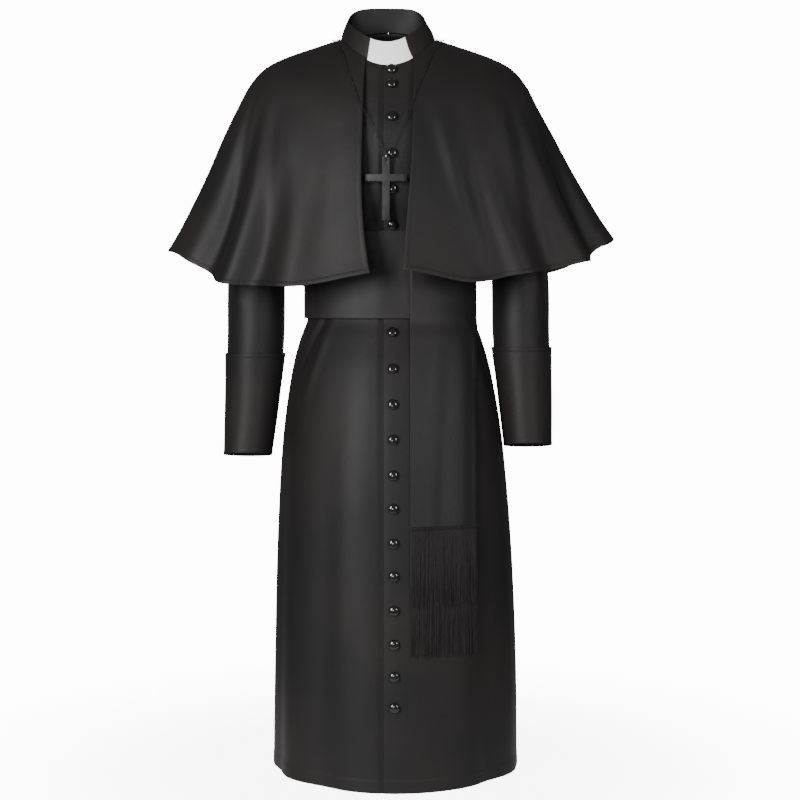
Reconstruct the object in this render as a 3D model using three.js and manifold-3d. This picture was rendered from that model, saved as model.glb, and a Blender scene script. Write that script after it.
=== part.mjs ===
// A clergy cassock costume, worn by nobody: a long button-front robe with a stand collar and white tab,
// an elbow-length shoulder cape, a wide waist sash with two fringed tails, turned-back cuffs, and a flat
// cross on a neck chain. Millimetres, +Z up, the front towards -Y. The origin is at the base of the neck.
// Angles run anticlockwise seen from above: 0 is the wearer's left side (+X), 90 the back, 180 the
// wearer's right side, 270 the front.
import * as THREE from 'three';
import { mergeVertices } from 'three/addons/utils/BufferGeometryUtils.js';
import Module from 'manifold-3d';

const wasm = await Module();
wasm.setup();

// Cloth
const wall = 1.6; // thickness of every cloth wall
const seam = 0.3; // gap between pieces at a seam
const lap = 0.5; // gap between a piece and the cloth that it lies on
const degree = Math.PI / 180;

// Robe: one row for each level, from the hem to the neck. z is the level at the sides, zFront and zBack at
// the middle of the front and back; half is half the width, front and back the depths from the centre (x, y).
const robeLevels = [
  { z: -1312, zFront: -1317, zBack: -1313, half: 224, front: 200, back: 200, x: 6, y: 0 },
  { z: -1110, zFront: -1110, zBack: -1110, half: 221, front: 193, back: 196, x: 6, y: 0 },
  { z: -900, zFront: -900, zBack: -900, half: 214, front: 182, back: 188, x: 4, y: 0 },
  { z: -720, zFront: -720, zBack: -720, half: 201, front: 168, back: 174, x: 1, y: 0 },
  { z: -600, zFront: -600, zBack: -600, half: 183, front: 146, back: 152, x: -1, y: 0 },
  { z: -535, zFront: -535, zBack: -535, half: 166, front: 124, back: 126, x: -2, y: 0 },
  { z: -490, zFront: -490, zBack: -490, half: 150.5, front: 107.5, back: 102.5, x: -2, y: 0 },
  { z: -420, zFront: -420, zBack: -420, half: 150, front: 107, back: 102, x: -2, y: 0 },
  { z: -345, zFront: -345, zBack: -345, half: 151.5, front: 108, back: 103, x: -2, y: 0 },
  { z: -280, zFront: -285, zBack: -280, half: 168, front: 119, back: 114, x: -5, y: 0 },
  { z: -215, zFront: -225, zBack: -215, half: 184, front: 121, back: 118, x: -7, y: 0 },
  { z: -130, zFront: -165, zBack: -120, half: 194, front: 117, back: 118, x: -7, y: 0 },
  { z: -42, zFront: -115, zBack: -40, half: 196, front: 104, back: 112, x: -7, y: 2 },
  { z: -17, zFront: -79, zBack: 4, half: 149, front: 90, back: 96, x: -7, y: 2 },
  { z: 5, zFront: -46, zBack: 34, half: 88, front: 78, back: 78, x: -7, y: 2 },
];
const robeFolds = [
  { at: 198, width: 8, height: -5, low: 0, high: 5.2 },
  { at: 213, width: 8, height: 4, low: 0, high: 4.6 },
  { at: 236, width: 9, height: -6, low: 0, high: 4.2 },
  { at: 318, width: 8, height: -6, low: 0, high: 4.4 },
  { at: 338, width: 9, height: 4, low: 0, high: 5.0 },
  { at: 18, width: 9, height: -11, low: 0, high: 5.0 },
  { at: 40, width: 9, height: 9, low: 0, high: 5.4 },
  { at: 62, width: 8, height: -10, low: 0, high: 5.6 },
  { at: 84, width: 9, height: 8, low: 0, high: 5.2 },
  { at: 108, width: 9, height: -10, low: 0, high: 5.5 },
  { at: 131, width: 9, height: 9, low: 0, high: 5.0 },
  { at: 156, width: 9, height: -9, low: 0, high: 5.3 },
];
const placketX = -15; // the overlapping edge, at the wearer's left front
const underlap = 40; // how far the right front runs on beneath the placket
const skirtRows = [0, 0.7, 1.4, 2.1, 2.8, 3.4, 4, 4.5, 5, 5.5, 6, 8, 9];
const armhole = { level: 11.15, reach: 1.05, spread: 27, steps: 8 };

// Cape: levels from its hem to the neck, with the x of its two front edges
const capeLevels = [
  { z: -364, zFront: -428, zBack: -446, half: 395, front: 184, back: 212, x: -1, y: 0, left: -38, right: 19 },
  { z: -322, zFront: -398, zBack: -398, half: 370, front: 177, back: 200, x: -2, y: 0, left: -43, right: 21 },
  { z: -240, zFront: -335, zBack: -310, half: 328, front: 165, back: 180, x: -4, y: 0, left: -50, right: 25 },
  { z: -165, zFront: -270, zBack: -225, half: 295, front: 154, back: 162, x: -6, y: 0, left: -53, right: 30 },
  { z: -113, zFront: -215, zBack: -155, half: 271, front: 143, back: 149, x: -7, y: 0, left: -53, right: 34 },
  { z: -76, zFront: -170, zBack: -100, half: 253, front: 132, back: 139, x: -7, y: 1, left: -52, right: 36 },
  { z: -44, zFront: -128, zBack: -45, half: 226, front: 120, back: 127, x: -7, y: 2, left: -51, right: 37 },
  { z: -23, zFront: -97, zBack: -5, half: 186, front: 107, back: 114, x: -7, y: 2, left: -50, right: 38 },
  { z: -5, zFront: -68, zBack: 24, half: 134, front: 93, back: 98, x: -7, y: 2, left: -49, right: 39 },
  { z: 10, zFront: -43, zBack: 39, half: 88, front: 79.2, back: 79.2, x: -7, y: 2, left: -47, right: 39 },
];
const capeFolds = [
  { at: 180, width: 11, height: 14, low: 0, high: 5 },
  { at: 211, width: 6.5, height: -25, low: 0, high: 6 },
  { at: 222, width: 5.5, height: 14, low: 0, high: 4 },
  { at: 232, width: 5.5, height: -14, low: 0, high: 4 },
  { at: 242, width: 6, height: 9, low: 0, high: 4.5 },
  { at: 299, width: 6, height: -13, low: 0, high: 4.5 },
  { at: 307, width: 5, height: 8, low: 0, high: 4 },
  { at: 316, width: 6, height: -12, low: 0, high: 4.5 },
  { at: 329, width: 6, height: 13, low: 0, high: 5 },
  { at: 341, width: 6, height: -18, low: 0, high: 5 },
  { at: 360, width: 11, height: 12, low: 0, high: 5 },
  { at: 17, width: 7, height: -20, low: 0, high: 5 },
  { at: 33, width: 7, height: 14, low: 0, high: 4.5 },
  { at: 48, width: 7, height: -15, low: 0, high: 4.5 },
  { at: 63, width: 7, height: 13, low: 0, high: 4 },
  { at: 78, width: 7, height: -14, low: 0, high: 4.5 },
  { at: 101, width: 7, height: -13, low: 0, high: 4 },
  { at: 116, width: 7, height: 13, low: 0, high: 4.5 },
  { at: 131, width: 7, height: -16, low: 0, high: 4.5 },
  { at: 146, width: 7, height: 14, low: 0, high: 4.5 },
  { at: 162, width: 7, height: -20, low: 0, high: 5 },
];
// How far its hem lies below the table's level, or above it, around the sides
const capeDrops = [
  { at: 180, width: 14, height: -9, low: 0, high: 4 },
  { at: 221, width: 23, height: -42, low: 0, high: 4 },
  { at: 246, width: 10, height: -10, low: 0, high: 4 },
  { at: 272, width: 13, height: 16, low: 0, high: 4 },
  { at: 292, width: 11, height: -15, low: 0, high: 4 },
  { at: 318, width: 15, height: -17, low: 0, high: 4 },
  { at: 337, width: 8, height: -14, low: 0, high: 4 },
  { at: 356, width: 9, height: 12, low: 0, high: 4 },
  { at: 40, width: 14, height: -14, low: 0, high: 4 },
  { at: 74, width: 15, height: 8, low: 0, high: 4 },
  { at: 104, width: 13, height: -12, low: 0, high: 4 },
  { at: 144, width: 15, height: -16, low: 0, high: 4 },
];
const capeRows = [0, 0.6, 1.3, 2, 2.9, 3.8, 4.7, 5.5, 6.3, 7, 8, 9];
const capeColumns = 32; // in each half

// Sleeves: a row for each ring from the upper arm to the wrist. z and x are those of the wearer's right arm
// (-X), zLeft and left those of the left arm.
const sleeveRings = [
  { z: -262, zLeft: -262, x: -246, left: 228, y: 4, half: 49, deep: 62 },
  { z: -350, zLeft: -350, x: -247, left: 231, y: 2, half: 51, deep: 62 },
  { z: -447, zLeft: -445, x: -248, left: 235, y: 0, half: 52, deep: 60 },
  { z: -545, zLeft: -535, x: -249, left: 236, y: -5, half: 52, deep: 57 },
  { z: -648, zLeft: -634, x: -255, left: 242, y: -14, half: 48, deep: 52 },
  { z: -745, zLeft: -728, x: -262, left: 247, y: -26, half: 42, deep: 46 },
];
const wristRow = sleeveRings.length - 1;
const sleeveHead = { gap: 0.45, bendX: 0.1, bendZ: 0.12, steps: 5 };
const sleeveShort = 0.03; // of a ring, by which the sleeve ends above the cuff's mouth
const sleeveSteps = 8;
const cuffTop = 3.15; // the ring at which the cuff begins
const cuffFade = 0.7; // of a ring, below its top, where it no longer stands off
const cuffProud = 1.4; // how far its top edge stands off the sleeve
const mouthTilt = 0.16; // rise of the cuff's mouth towards the front, for each millimetre of depth

// Collar: a band that rises to the back. For each level there is the x of its two front edges and square,
// the power of the ellipse of its back half: 2 is round, more is squarer.
const collarLevels = [
  { z: 5.8, zFront: -45.3, zBack: 35, half: 87, front: 77.8, back: 77.8, x: -7, y: 2 },
  { z: 23, zFront: -24, zBack: 57, half: 82, front: 75, back: 74, x: -8, y: 2 },
  { z: 41, zFront: -2.5, zBack: 79, half: 73, front: 70, back: 69, x: -10, y: 2 },
];
const collarEnds = [
  { left: -45, right: 38, square: 2 },
  { left: -42, right: 30, square: 2.8 },
  { left: -39, right: 24, square: 4.4 },
];
const collarWall = 2.4;
const tab = { overlap: 9, wall: 0.9 };

// Sash
const sashLevels = [
  { z: -497, zFront: -497, zBack: -497, half: 160, front: 113, back: 110, x: -3, y: 0 },
  { z: -341, zFront: -341, zBack: -341, half: 160, front: 113, back: 110, x: -3, y: 0 },
];
const sashEnds = { right: 18, left: 12, under: 8 }; // degrees from the sides to the front panel's ends
const tails = {
  top: -372,
  front: { left: 33, right: 145, end: -858, threads: 140, lift: 4.7 },
  rear: { left: 31, right: 150, end: -958, threads: 128, lift: 2.4 },
};
const tailRows = [-430, -490, -502, -535, -570, -610, -660, -720, -790, -858, -910];
const tailColumns = 8;
const bridge = { below: 8, lift: 6, fade: 110 }; // how the tails pass from the sash's edge to the skirt
const heading = { height: 6, wall: 2.2, proud: 0.4 }; // the strip that holds the threads
const thread = { count: 36, radius: 0.9, uneven: 11, beat: 2.1, sides: 3, bends: 1 };
const threadHang = { sunk: 0.5, drift: 0.02, sway: 0.55 };

// Buttons: the height of each, down the front
const button = { radius: 9.2, height: 8.6, foot: 4, widest: 3.1, slices: 10 };
const buttonShoulder = { radius: 7.6, up: 6.4 };
const buttonLevels = [
  -56, -83, -143, -206, -268, -330.5,
  -523, -585.5, -646.5, -707, -768, -825.5, -885.5, -942, -1001, -1059.5, -1114.5, -1168,
];
const buttonLine = { top: -1, bottom: 4 }; // the x of the first and last button
const rayStart = 1000; // how far in front of the robe the seat of a button is looked for

// Cross, ring and chain
const cross = { x: -10.5, y: -133.5, hole: -219, height: 111, span: 73, bar: 13, armDrop: 36.7, wall: 3 };
const eye = { drop: 5.5, radius: 2.5 };
const ring = { radius: 5, wire: 0.8, slack: 0.5, sides: 6, steps: 18 };
const chain = { radius: 1, strandSteps: 34, bowSteps: 10 };
const clasp = { radius: 2.1, length: 9, sides: 8, x: -7, y: 89.9, z: 43.2 };
// The chain's route: from the clasp at the nape round the wearer's right side of the neck, over the cape
// and its edge to the ring, through it in the bow, and back up on the wearer's left.
const chainRoutes = {
  right: [
    [-11.8, 89.8, 43.1], [-42, 84.2, 39], [-73, 68.5, 29.3], [-95.5, 45.1, 18.3], [-107.6, 16.9, 10.6],
    [-107.5, -13.2, 7.6], [-102, -34, -1.2], [-87.4, -60.8, -24.2], [-80.4, -79.4, -50.8],
    [-68.6, -98.6, -83.4], [-60.8, -109.4, -105.1], [-50.8, -119.4, -128.2], [-37, -124, -156],
    [-21, -130.5, -190.5], [-16, -133.2, -203.4],
  ],
  bow: [
    [-15.8, -133.3, -203.8], [-14.1, -133.5, -207.4], [-12.6, -133.5, -209.1], [-10.5, -133.5, -209.7],
    [-8.4, -133.5, -209.1], [-6.9, -133.5, -207.4], [-5.2, -133.3, -203.8],
  ],
  left: [
    [-5, -133.2, -203.4], [0.6, -132, -190], [11, -128, -166], [22.9, -122.4, -142], [31, -118.8, -129],
    [37, -115.2, -117.3], [44.6, -104.5, -95.1], [51.9, -94, -74], [60.7, -82.2, -54.3], [67.5, -69.2, -34.6],
    [74.8, -53.2, -15], [86.8, -33.6, 0.2], [93.6, -13.2, 7.6], [93.6, 17, 10.6], [81.6, 45.1, 18.3],
    [59, 68.5, 29.3], [28, 84.2, 39], [-2.2, 89.8, 43.1],
  ],
};

const looks = {
  cloth: { color: 0x2a2726, roughness: 0.62, metalness: 0 },
  sashCloth: { color: 0x2c2a29, roughness: 0.6, metalness: 0 },
  tabCloth: { color: 0xf2f1ee, roughness: 0.55, metalness: 0 },
  button: { color: 0x0b0b0c, roughness: 0.18, metalness: 0 },
  darkMetal: { color: 0x3a3a3c, roughness: 0.42, metalness: 0.85 },
  brightMetal: { color: 0x9a9a9c, roughness: 0.25, metalness: 0.95 },
};

const costume = new THREE.Group();

function addPiece(name, geometry, look) {
  const mesh = new THREE.Mesh(geometry, new THREE.MeshStandardMaterial(looks[look]));
  mesh.name = name;
  costume.add(mesh);
  return mesh;
}

// The value of one column of a table at a row between its rows, along a smooth curve.
function columnAt(table, column, row) {
  const last = table.length - 1;
  const i = THREE.MathUtils.clamp(Math.floor(row), 0, last - 1);
  const t = row - i;
  const from = table[i][column];
  const to = table[i + 1][column];
  const before = i > 0 ? table[i - 1][column] : 2 * from - to;
  const after = i + 2 <= last ? table[i + 2][column] : 2 * to - from;
  const slopeFrom = (to - before) / 2;
  const slopeTo = (after - from) / 2;
  const bend = 3 * (to - from) - 2 * slopeFrom - slopeTo;
  const twist = slopeFrom + slopeTo - 2 * (to - from);
  return from + t * (slopeFrom + t * (bend + t * twist));
}

// How far the folds move the cloth outwards at an angle in degrees and a row of the table.
function foldsAt(folds, angle, row) {
  let lift = 0;
  for (const fold of folds) {
    const away = ((((angle - fold.at) % 360) + 540) % 360) - 180;
    const fade = 1 - THREE.MathUtils.smoothstep(row, fold.low, fold.high);
    lift += fold.height * fade * Math.exp(-((away / fold.width) ** 2));
  }
  return lift;
}

// A point of a ring-shaped piece of clothing, before any thickness.
function clothPoint({ levels, folds = [], drops = [], ends }, angle, row) {
  const at = (column) => columnAt(levels, column, row);
  const [cosine, sine] = [Math.cos(angle * degree), Math.sin(angle * degree)];
  const square = ends && sine > 0 ? columnAt(ends, 'square', row) : 2;
  const stretch = (Math.abs(cosine) ** square + Math.abs(sine) ** square) ** (-1 / square);
  const across = cosine * stretch;
  const deep = sine * stretch;
  const depth = deep < 0 ? at('front') : at('back');
  const end = deep < 0 ? at('zFront') : at('zBack');
  const half = at('half');
  const out = new THREE.Vector2(across / half, deep / depth).normalize();
  const shift = foldsAt(folds, angle, row);
  return new THREE.Vector3(
    at('x') + half * across + out.x * shift,
    at('y') + depth * deep + out.y * shift,
    THREE.MathUtils.lerp(at('z'), end, deep * deep) + foldsAt(drops, angle, row),
  );
}

const nudge = { turn: 1, rise: 0.05 }; // how far apart two points are compared to find the cloth's slope

// The same point moved outwards, square to the cloth, by lift.
function bodyPoint(form, angle, row, lift = 0) {
  const point = clothPoint(form, angle, row);
  if (lift === 0) return point;
  const { turn, rise } = nudge;
  const along = clothPoint(form, angle + turn, row).sub(clothPoint(form, angle - turn, row));
  const up = clothPoint(form, angle, row + rise).sub(clothPoint(form, angle, row - rise));
  return point.add(along.cross(up).normalize().multiplyScalar(lift));
}

const robeForm = { levels: robeLevels, folds: robeFolds };
const capeForm = { levels: capeLevels, folds: capeFolds, drops: capeDrops };
const robePoint = (angle, row, lift) => bodyPoint(robeForm, angle, row, lift);
const capePoint = (angle, row, lift) => bodyPoint(capeForm, angle, row, lift);

// The angle, on the front, of the point of a ring with a given x.
function frontAngle(levels, x, row) {
  const across = (x - columnAt(levels, 'x', row)) / columnAt(levels, 'half', row);
  return 360 - Math.acos(THREE.MathUtils.clamp(across, -1, 1)) / degree;
}

// The points of a grid moved by thickness square to it, to the inside. A ring closes on itself along i.
function behind(rows, thickness, ringShaped) {
  const tall = rows.length;
  const wide = rows[0].length;
  const pick = (j, i) => {
    const row = rows[THREE.MathUtils.clamp(j, 0, tall - 1)];
    return row[ringShaped ? (i + wide) % wide : THREE.MathUtils.clamp(i, 0, wide - 1)];
  };
  return rows.map((row, j) => row.map((point, i) => {
    const along = pick(j, i + 1).clone().sub(pick(j, i - 1));
    const up = pick(j + 1, i).clone().sub(pick(j - 1, i));
    return point.clone().add(along.cross(up).normalize().multiplyScalar(-thickness));
  }));
}

// A closed wall between a grid of outer points and one of inner points: rows[j][i], with i running
// anticlockwise and j upwards as seen from outside. A ring closes on itself along i.
function wallGeometry(rows, innerRows, ringShaped = false) {
  const tall = rows.length;
  const wide = rows[0].length;
  const positions = [...rows.flat(), ...innerRows.flat()].flatMap((point) => point.toArray());
  const count = tall * wide;
  const faces = [];
  const quad = (a, b, c, d) => faces.push(a, b, c, a, c, d);
  const at = (j, i) => j * wide + (ringShaped ? i % wide : i);
  const spans = ringShaped ? wide : wide - 1;
  for (let i = 0; i < spans; i++) {
    for (let j = 0; j < tall - 1; j++) {
      quad(at(j, i), at(j, i + 1), at(j + 1, i + 1), at(j + 1, i));
      quad(count + at(j, i), count + at(j + 1, i), count + at(j + 1, i + 1), count + at(j, i + 1));
    }
    quad(at(0, i), count + at(0, i), count + at(0, i + 1), at(0, i + 1));
    quad(at(tall - 1, i), at(tall - 1, i + 1), count + at(tall - 1, i + 1), count + at(tall - 1, i));
  }
  if (!ringShaped) {
    for (let j = 0; j < tall - 1; j++) {
      quad(at(j, 0), at(j + 1, 0), count + at(j + 1, 0), count + at(j, 0));
      const end = wide - 1;
      quad(at(j, end), count + at(j, end), count + at(j + 1, end), at(j + 1, end));
    }
  }
  const geometry = new THREE.BufferGeometry();
  geometry.setAttribute('position', new THREE.Float32BufferAttribute(positions, 3));
  geometry.setIndex(faces);
  geometry.computeVertexNormals();
  return geometry;
}

const steps = (from, to, count) => (
  Array.from({ length: count + 1 }, (_, i) => from + ((to - from) * i) / count)
);

// The armhole in a side of the robe: the rows that bound it and how far it spreads from the side seam.
const armholeRows = steps(-90, 90, armhole.steps).map((turn) => ({
  row: armhole.level + armhole.reach * Math.sin(turn * degree),
  spread: armhole.spread * Math.cos(turn * degree),
}));

// Rows of the robe's panels, from the hem over the armhole to the neck.
const neckRow = robeLevels.length - 1;
const panelRows = [
  ...skirtRows.map((row) => ({ row, spread: 0 })),
  ...armholeRows,
  { row: 13, spread: 0 },
  { row: neckRow, spread: 0 },
];

// Half of a seam's gap, as an angle at this row.
const seamAngle = (levels, row) => seam / 2 / columnAt(levels, 'front', row) / degree;

function robePanel(columnsAt) {
  const rowsAt = (depth) => panelRows.map(({ row, spread }) => (
    columnsAt(row, spread).map(({ angle, lift }) => robePoint(angle, row, lift - depth))
  ));
  return wallGeometry(rowsAt(0), rowsAt(wall));
}

const flush = (angles) => angles.map((angle) => ({ angle, lift: 0 }));

function makeRobe() {
  addPiece('robe_front_left', robePanel((row, spread) => {
    const edge = frontAngle(robeLevels, placketX, row);
    return flush(steps(edge, 360 - spread - seamAngle(robeLevels, row), 11));
  }), 'cloth');
  addPiece('robe_front_right', robePanel((row, spread) => {
    const sunk = -(wall + 2 * lap);
    const side = 180 + spread + seamAngle(robeLevels, row);
    const stepAt = frontAngle(robeLevels, placketX - 9, row);
    return [
      ...flush(steps(side, stepAt, 9)),
      { angle: frontAngle(robeLevels, placketX - 2, row), lift: sunk },
      { angle: frontAngle(robeLevels, placketX + underlap / 2, row), lift: sunk },
      { angle: frontAngle(robeLevels, placketX + underlap, row), lift: sunk },
    ];
  }), 'cloth');
  addPiece('robe_back', robePanel((row, spread) => {
    const gap = spread + seamAngle(robeLevels, row);
    return flush(steps(gap, 180 - gap, 20));
  }), 'cloth');
}

// A point of the sleeve below the armhole, lift outside its cloth. turn is 0 on the inside of the arm, 90
// at its front and 180 on its outside; side is -1 for the wearer's right arm.
function armPoint(side, turn, row, lift = 0) {
  const at = (column) => columnAt(sleeveRings, column, row);
  const inward = -side * Math.cos(turn * degree);
  const forward = Math.sin(turn * degree);
  const tilt = mouthTilt * THREE.MathUtils.smoothstep(row, 3, 5);
  return new THREE.Vector3(
    (side < 0 ? at('x') : at('left')) + (at('half') + lift) * inward,
    at('y') - (at('deep') + lift) * forward,
    (side < 0 ? at('z') : at('zLeft')) + tilt * at('deep') * forward,
  );
}

// Rings of points put in order, anticlockwise seen from above and the lowest ring first.
function armWall(side, rows, thickness) {
  const ordered = side > 0 ? rows : rows.map((row) => [row[0], ...row.slice(1).reverse()]);
  ordered.reverse();
  return wallGeometry(ordered, behind(ordered, thickness, true), true);
}

function makeSleeve(side, name) {
  const seamAt = side < 0 ? 180 : 360;
  const hole = [
    ...armholeRows.map(({ row, spread }) => ({ row, angle: seamAt - side * spread })),
    ...armholeRows.slice(1, -1).reverse().map(({ row, spread }) => ({ row, angle: seamAt + side * spread })),
  ];
  const turnAt = (index) => (index / hole.length) * 360;
  // Each point of the armhole runs outwards, then bends down into the arm.
  const head = steps(0, 1, sleeveHead.steps).slice(0, -1).map((t) => hole.map(({ row, angle }, index) => {
    const start = robePoint(angle, row).add(new THREE.Vector3(side * sleeveHead.gap, 0, 0));
    const end = armPoint(side, turnAt(index), 0);
    const bend = new THREE.Vector3(
      THREE.MathUtils.lerp(end.x, start.x, sleeveHead.bendX),
      (start.y + end.y) / 2,
      THREE.MathUtils.lerp(start.z, end.z, sleeveHead.bendZ),
    );
    return new THREE.QuadraticBezierCurve3(start, bend, end).getPoint(t);
  }));
  const arm = steps(0, wristRow - sleeveShort, sleeveSteps).map((row) => (
    hole.map((_, index) => armPoint(side, turnAt(index), row))
  ));
  addPiece('sleeve_' + name, armWall(side, [...head, ...arm], wall), 'cloth');
}

function makeCuff(side, name) {
  const rings = steps(cuffTop, wristRow, 4).map((row) => {
    const proud = cuffProud * (1 - THREE.MathUtils.smoothstep(row, cuffTop, cuffTop + cuffFade));
    const turns = steps(0, 360, 2 * armhole.steps).slice(0, -1);
    return turns.map((turn) => armPoint(side, turn, row, lap + wall + proud));
  });
  addPiece('cuff_' + name, armWall(side, rings, wall), 'cloth');
}

function makeCollar() {
  const levelsAt = [0, 1, 2];
  const form = { levels: collarLevels, ends: collarEnds };
  const band = (from, to, columns, outer, thickness) => {
    const rowsAt = (depth) => levelsAt.map((row) => (
      steps(from(row), to(row), columns).map((angle) => bodyPoint(form, angle, row, outer - depth))
    ));
    return wallGeometry(rowsAt(0), rowsAt(thickness));
  };
  const edge = (column) => (row) => frontAngle(collarLevels, columnAt(collarEnds, column, row), row);
  const [left, right] = [edge('left'), edge('right')];
  addPiece('collar', band((row) => right(row) - 360, left, 28, 0, collarWall), 'cloth');
  const tuck = tab.overlap / collarLevels[0].half / degree;
  const tabBand = band(
    (row) => left(row) - tuck,
    (row) => right(row) + tuck,
    10,
    -collarWall - lap,
    tab.wall,
  );
  addPiece('collar_tab', tabBand, 'tabCloth');
}

function makeCape() {
  const half = (from, to) => {
    const rowsAt = (depth) => capeRows.map((row) => (
      steps(from(row), to(row), capeColumns).map((angle) => capePoint(angle, row, -depth))
    ));
    return wallGeometry(rowsAt(0), rowsAt(wall));
  };
  const gap = (row) => seamAngle(capeLevels, row);
  const edge = (column) => (row) => frontAngle(capeLevels, columnAt(capeLevels, column, row), row);
  addPiece('cape_right', half((row) => 90 + gap(row), edge('left')), 'cloth');
  addPiece('cape_left', half((row) => edge('right')(row), (row) => 450 - gap(row)), 'cloth');
}

const sashPoint = (angle, row, lift) => bodyPoint({ levels: sashLevels }, angle, row, lift);

function makeSash() {
  const panel = (from, to, columns, lift) => {
    const rowsAt = (depth) => [0, 1].map((row) => (
      steps(from, to, columns).map((angle) => sashPoint(angle, row, lift - depth))
    ));
    return wallGeometry(rowsAt(0), rowsAt(wall));
  };
  const { right, left, under } = sashEnds;
  addPiece('sash_front', panel(180 + right, 360 - left, 22, 0), 'sashCloth');
  addPiece('sash_back', panel(-left - under, 180 + right + under, 28, -(wall + lap)), 'sashCloth');
}

const chestRow = 9; // up to here the robe's rows lie level
const halvings = 26; // of the span in which a row is looked for

// The row of the robe, below its chest, at a height z.
function robeRow(z) {
  let low = 0;
  let high = chestRow;
  for (let i = 0; i < halvings; i++) {
    const middle = (low + high) / 2;
    if (columnAt(robeLevels, 'z', middle) < z) low = middle;
    else high = middle;
  }
  return low;
}

// A point of a tail, lift outside the sash or the skirt: u runs from its left edge to its right one.
function tailPoint({ left, right }, u, z, lift) {
  const bottom = sashLevels[0].z;
  const onSash = z > bottom - bridge.below;
  const levels = onSash ? sashLevels : robeLevels;
  const row = onSash ? (z - bottom) / (sashLevels[1].z - bottom) : robeRow(z);
  const angle = THREE.MathUtils.lerp(frontAngle(levels, left, row), frontAngle(levels, right, row), u);
  if (onSash) return sashPoint(angle, row, lift);
  const clear = bridge.lift * (1 - THREE.MathUtils.smoothstep(bottom - z, 0, bridge.fade));
  return robePoint(angle, row, lift + clear);
}

function makeTail(name, tail) {
  const levels = [tail.end, ...tailRows.filter((z) => z > tail.end + 4).reverse(), tails.top];
  levels.sort((a, b) => a - b);
  const rowsAt = (depth) => levels.map((z) => (
    steps(0, 1, tailColumns).map((u) => tailPoint(tail, u, z, tail.lift - depth))
  ));
  addPiece('sash_tail_' + name, wallGeometry(rowsAt(0), rowsAt(wall)), 'sashCloth');
}

const solidOf = (geometry) => {
  const plain = new THREE.BufferGeometry().setAttribute('position', geometry.getAttribute('position'));
  plain.setIndex(geometry.index);
  const merged = mergeVertices(plain, 1e-4);
  return new wasm.Manifold(new wasm.Mesh({
    numProp: 3,
    vertProperties: merged.attributes.position.array,
    triVerts: new Uint32Array(merged.index.array),
  }));
};

function geometryOf(solid) {
  const mesh = solid.getMesh();
  const geometry = new THREE.BufferGeometry();
  geometry.setAttribute('position', new THREE.BufferAttribute(mesh.vertProperties.slice(), 3));
  geometry.setIndex(new THREE.BufferAttribute(mesh.triVerts.slice(), 1));
  geometry.computeVertexNormals();
  return geometry;
}

// A heading strip below the end of a tail, and the threads that hang from it over the skirt.
function makeFringe(name, tail) {
  const top = tail.end - seam;
  const middle = top - heading.height / 2;
  const rowsAt = (depth) => [top - heading.height, top].map((z) => (
    steps(0, 1, tailColumns).map((u) => tailPoint(tail, u, z, tail.lift + heading.proud - depth))
  ));
  const parts = [solidOf(wallGeometry(rowsAt(0), rowsAt(heading.wall)))];
  for (let i = 0; i < thread.count; i++) {
    const short = (1 + Math.sin(i * thread.beat) * Math.cos(i * thread.beat / 3)) / 2;
    const length = tail.threads - thread.uneven * short;
    const start = (i + 0.5) / thread.count;
    const drift = threadHang.drift * Math.sin(i * threadHang.sway);
    const geometry = new THREE.CylinderGeometry(thread.radius, thread.radius, 1, thread.sides, thread.bends);
    const position = geometry.getAttribute('position');
    for (let k = 0; k < position.count; k++) {
      const down = 0.5 - position.getY(k);
      const across = start + drift * down * down;
      const centre = tailPoint(tail, across, middle - length * down, tail.lift - threadHang.sunk);
      position.setXYZ(k, centre.x + position.getX(k), centre.y - position.getZ(k), centre.z);
    }
    parts.push(solidOf(geometry));
  }
  addPiece('fringe_' + name, geometryOf(wasm.Manifold.union(parts)), 'sashCloth');
}

// Each button sits on the front of the robe where a line straight back from its place meets it.
function makeButtons() {
  const front = costume.getObjectByName('robe_front_left');
  const { radius, height, foot, widest, slices } = button;
  const { radius: narrower, up } = buttonShoulder;
  const profile = [[0, 0], [foot, 0], [radius, widest], [narrower, up], [0, height]];
  const points = profile.map(([across, along]) => new THREE.Vector2(across, along));
  buttonLevels.forEach((z, i) => {
    const x = THREE.MathUtils.lerp(buttonLine.top, buttonLine.bottom, i / (buttonLevels.length - 1));
    const inFront = new THREE.Vector3(x, -rayStart, z);
    const [hit] = new THREE.Raycaster(inFront, new THREE.Vector3(0, 1, 0)).intersectObject(front);
    const out = hit.face.normal;
    const name = 'button_' + String(i + 1).padStart(2, '0');
    const piece = addPiece(name, new THREE.LatheGeometry(points, slices), 'button');
    piece.position.copy(hit.point).addScaledVector(out, seam);
    piece.quaternion.setFromUnitVectors(new THREE.Vector3(0, 1, 0), out);
  });
}

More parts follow.
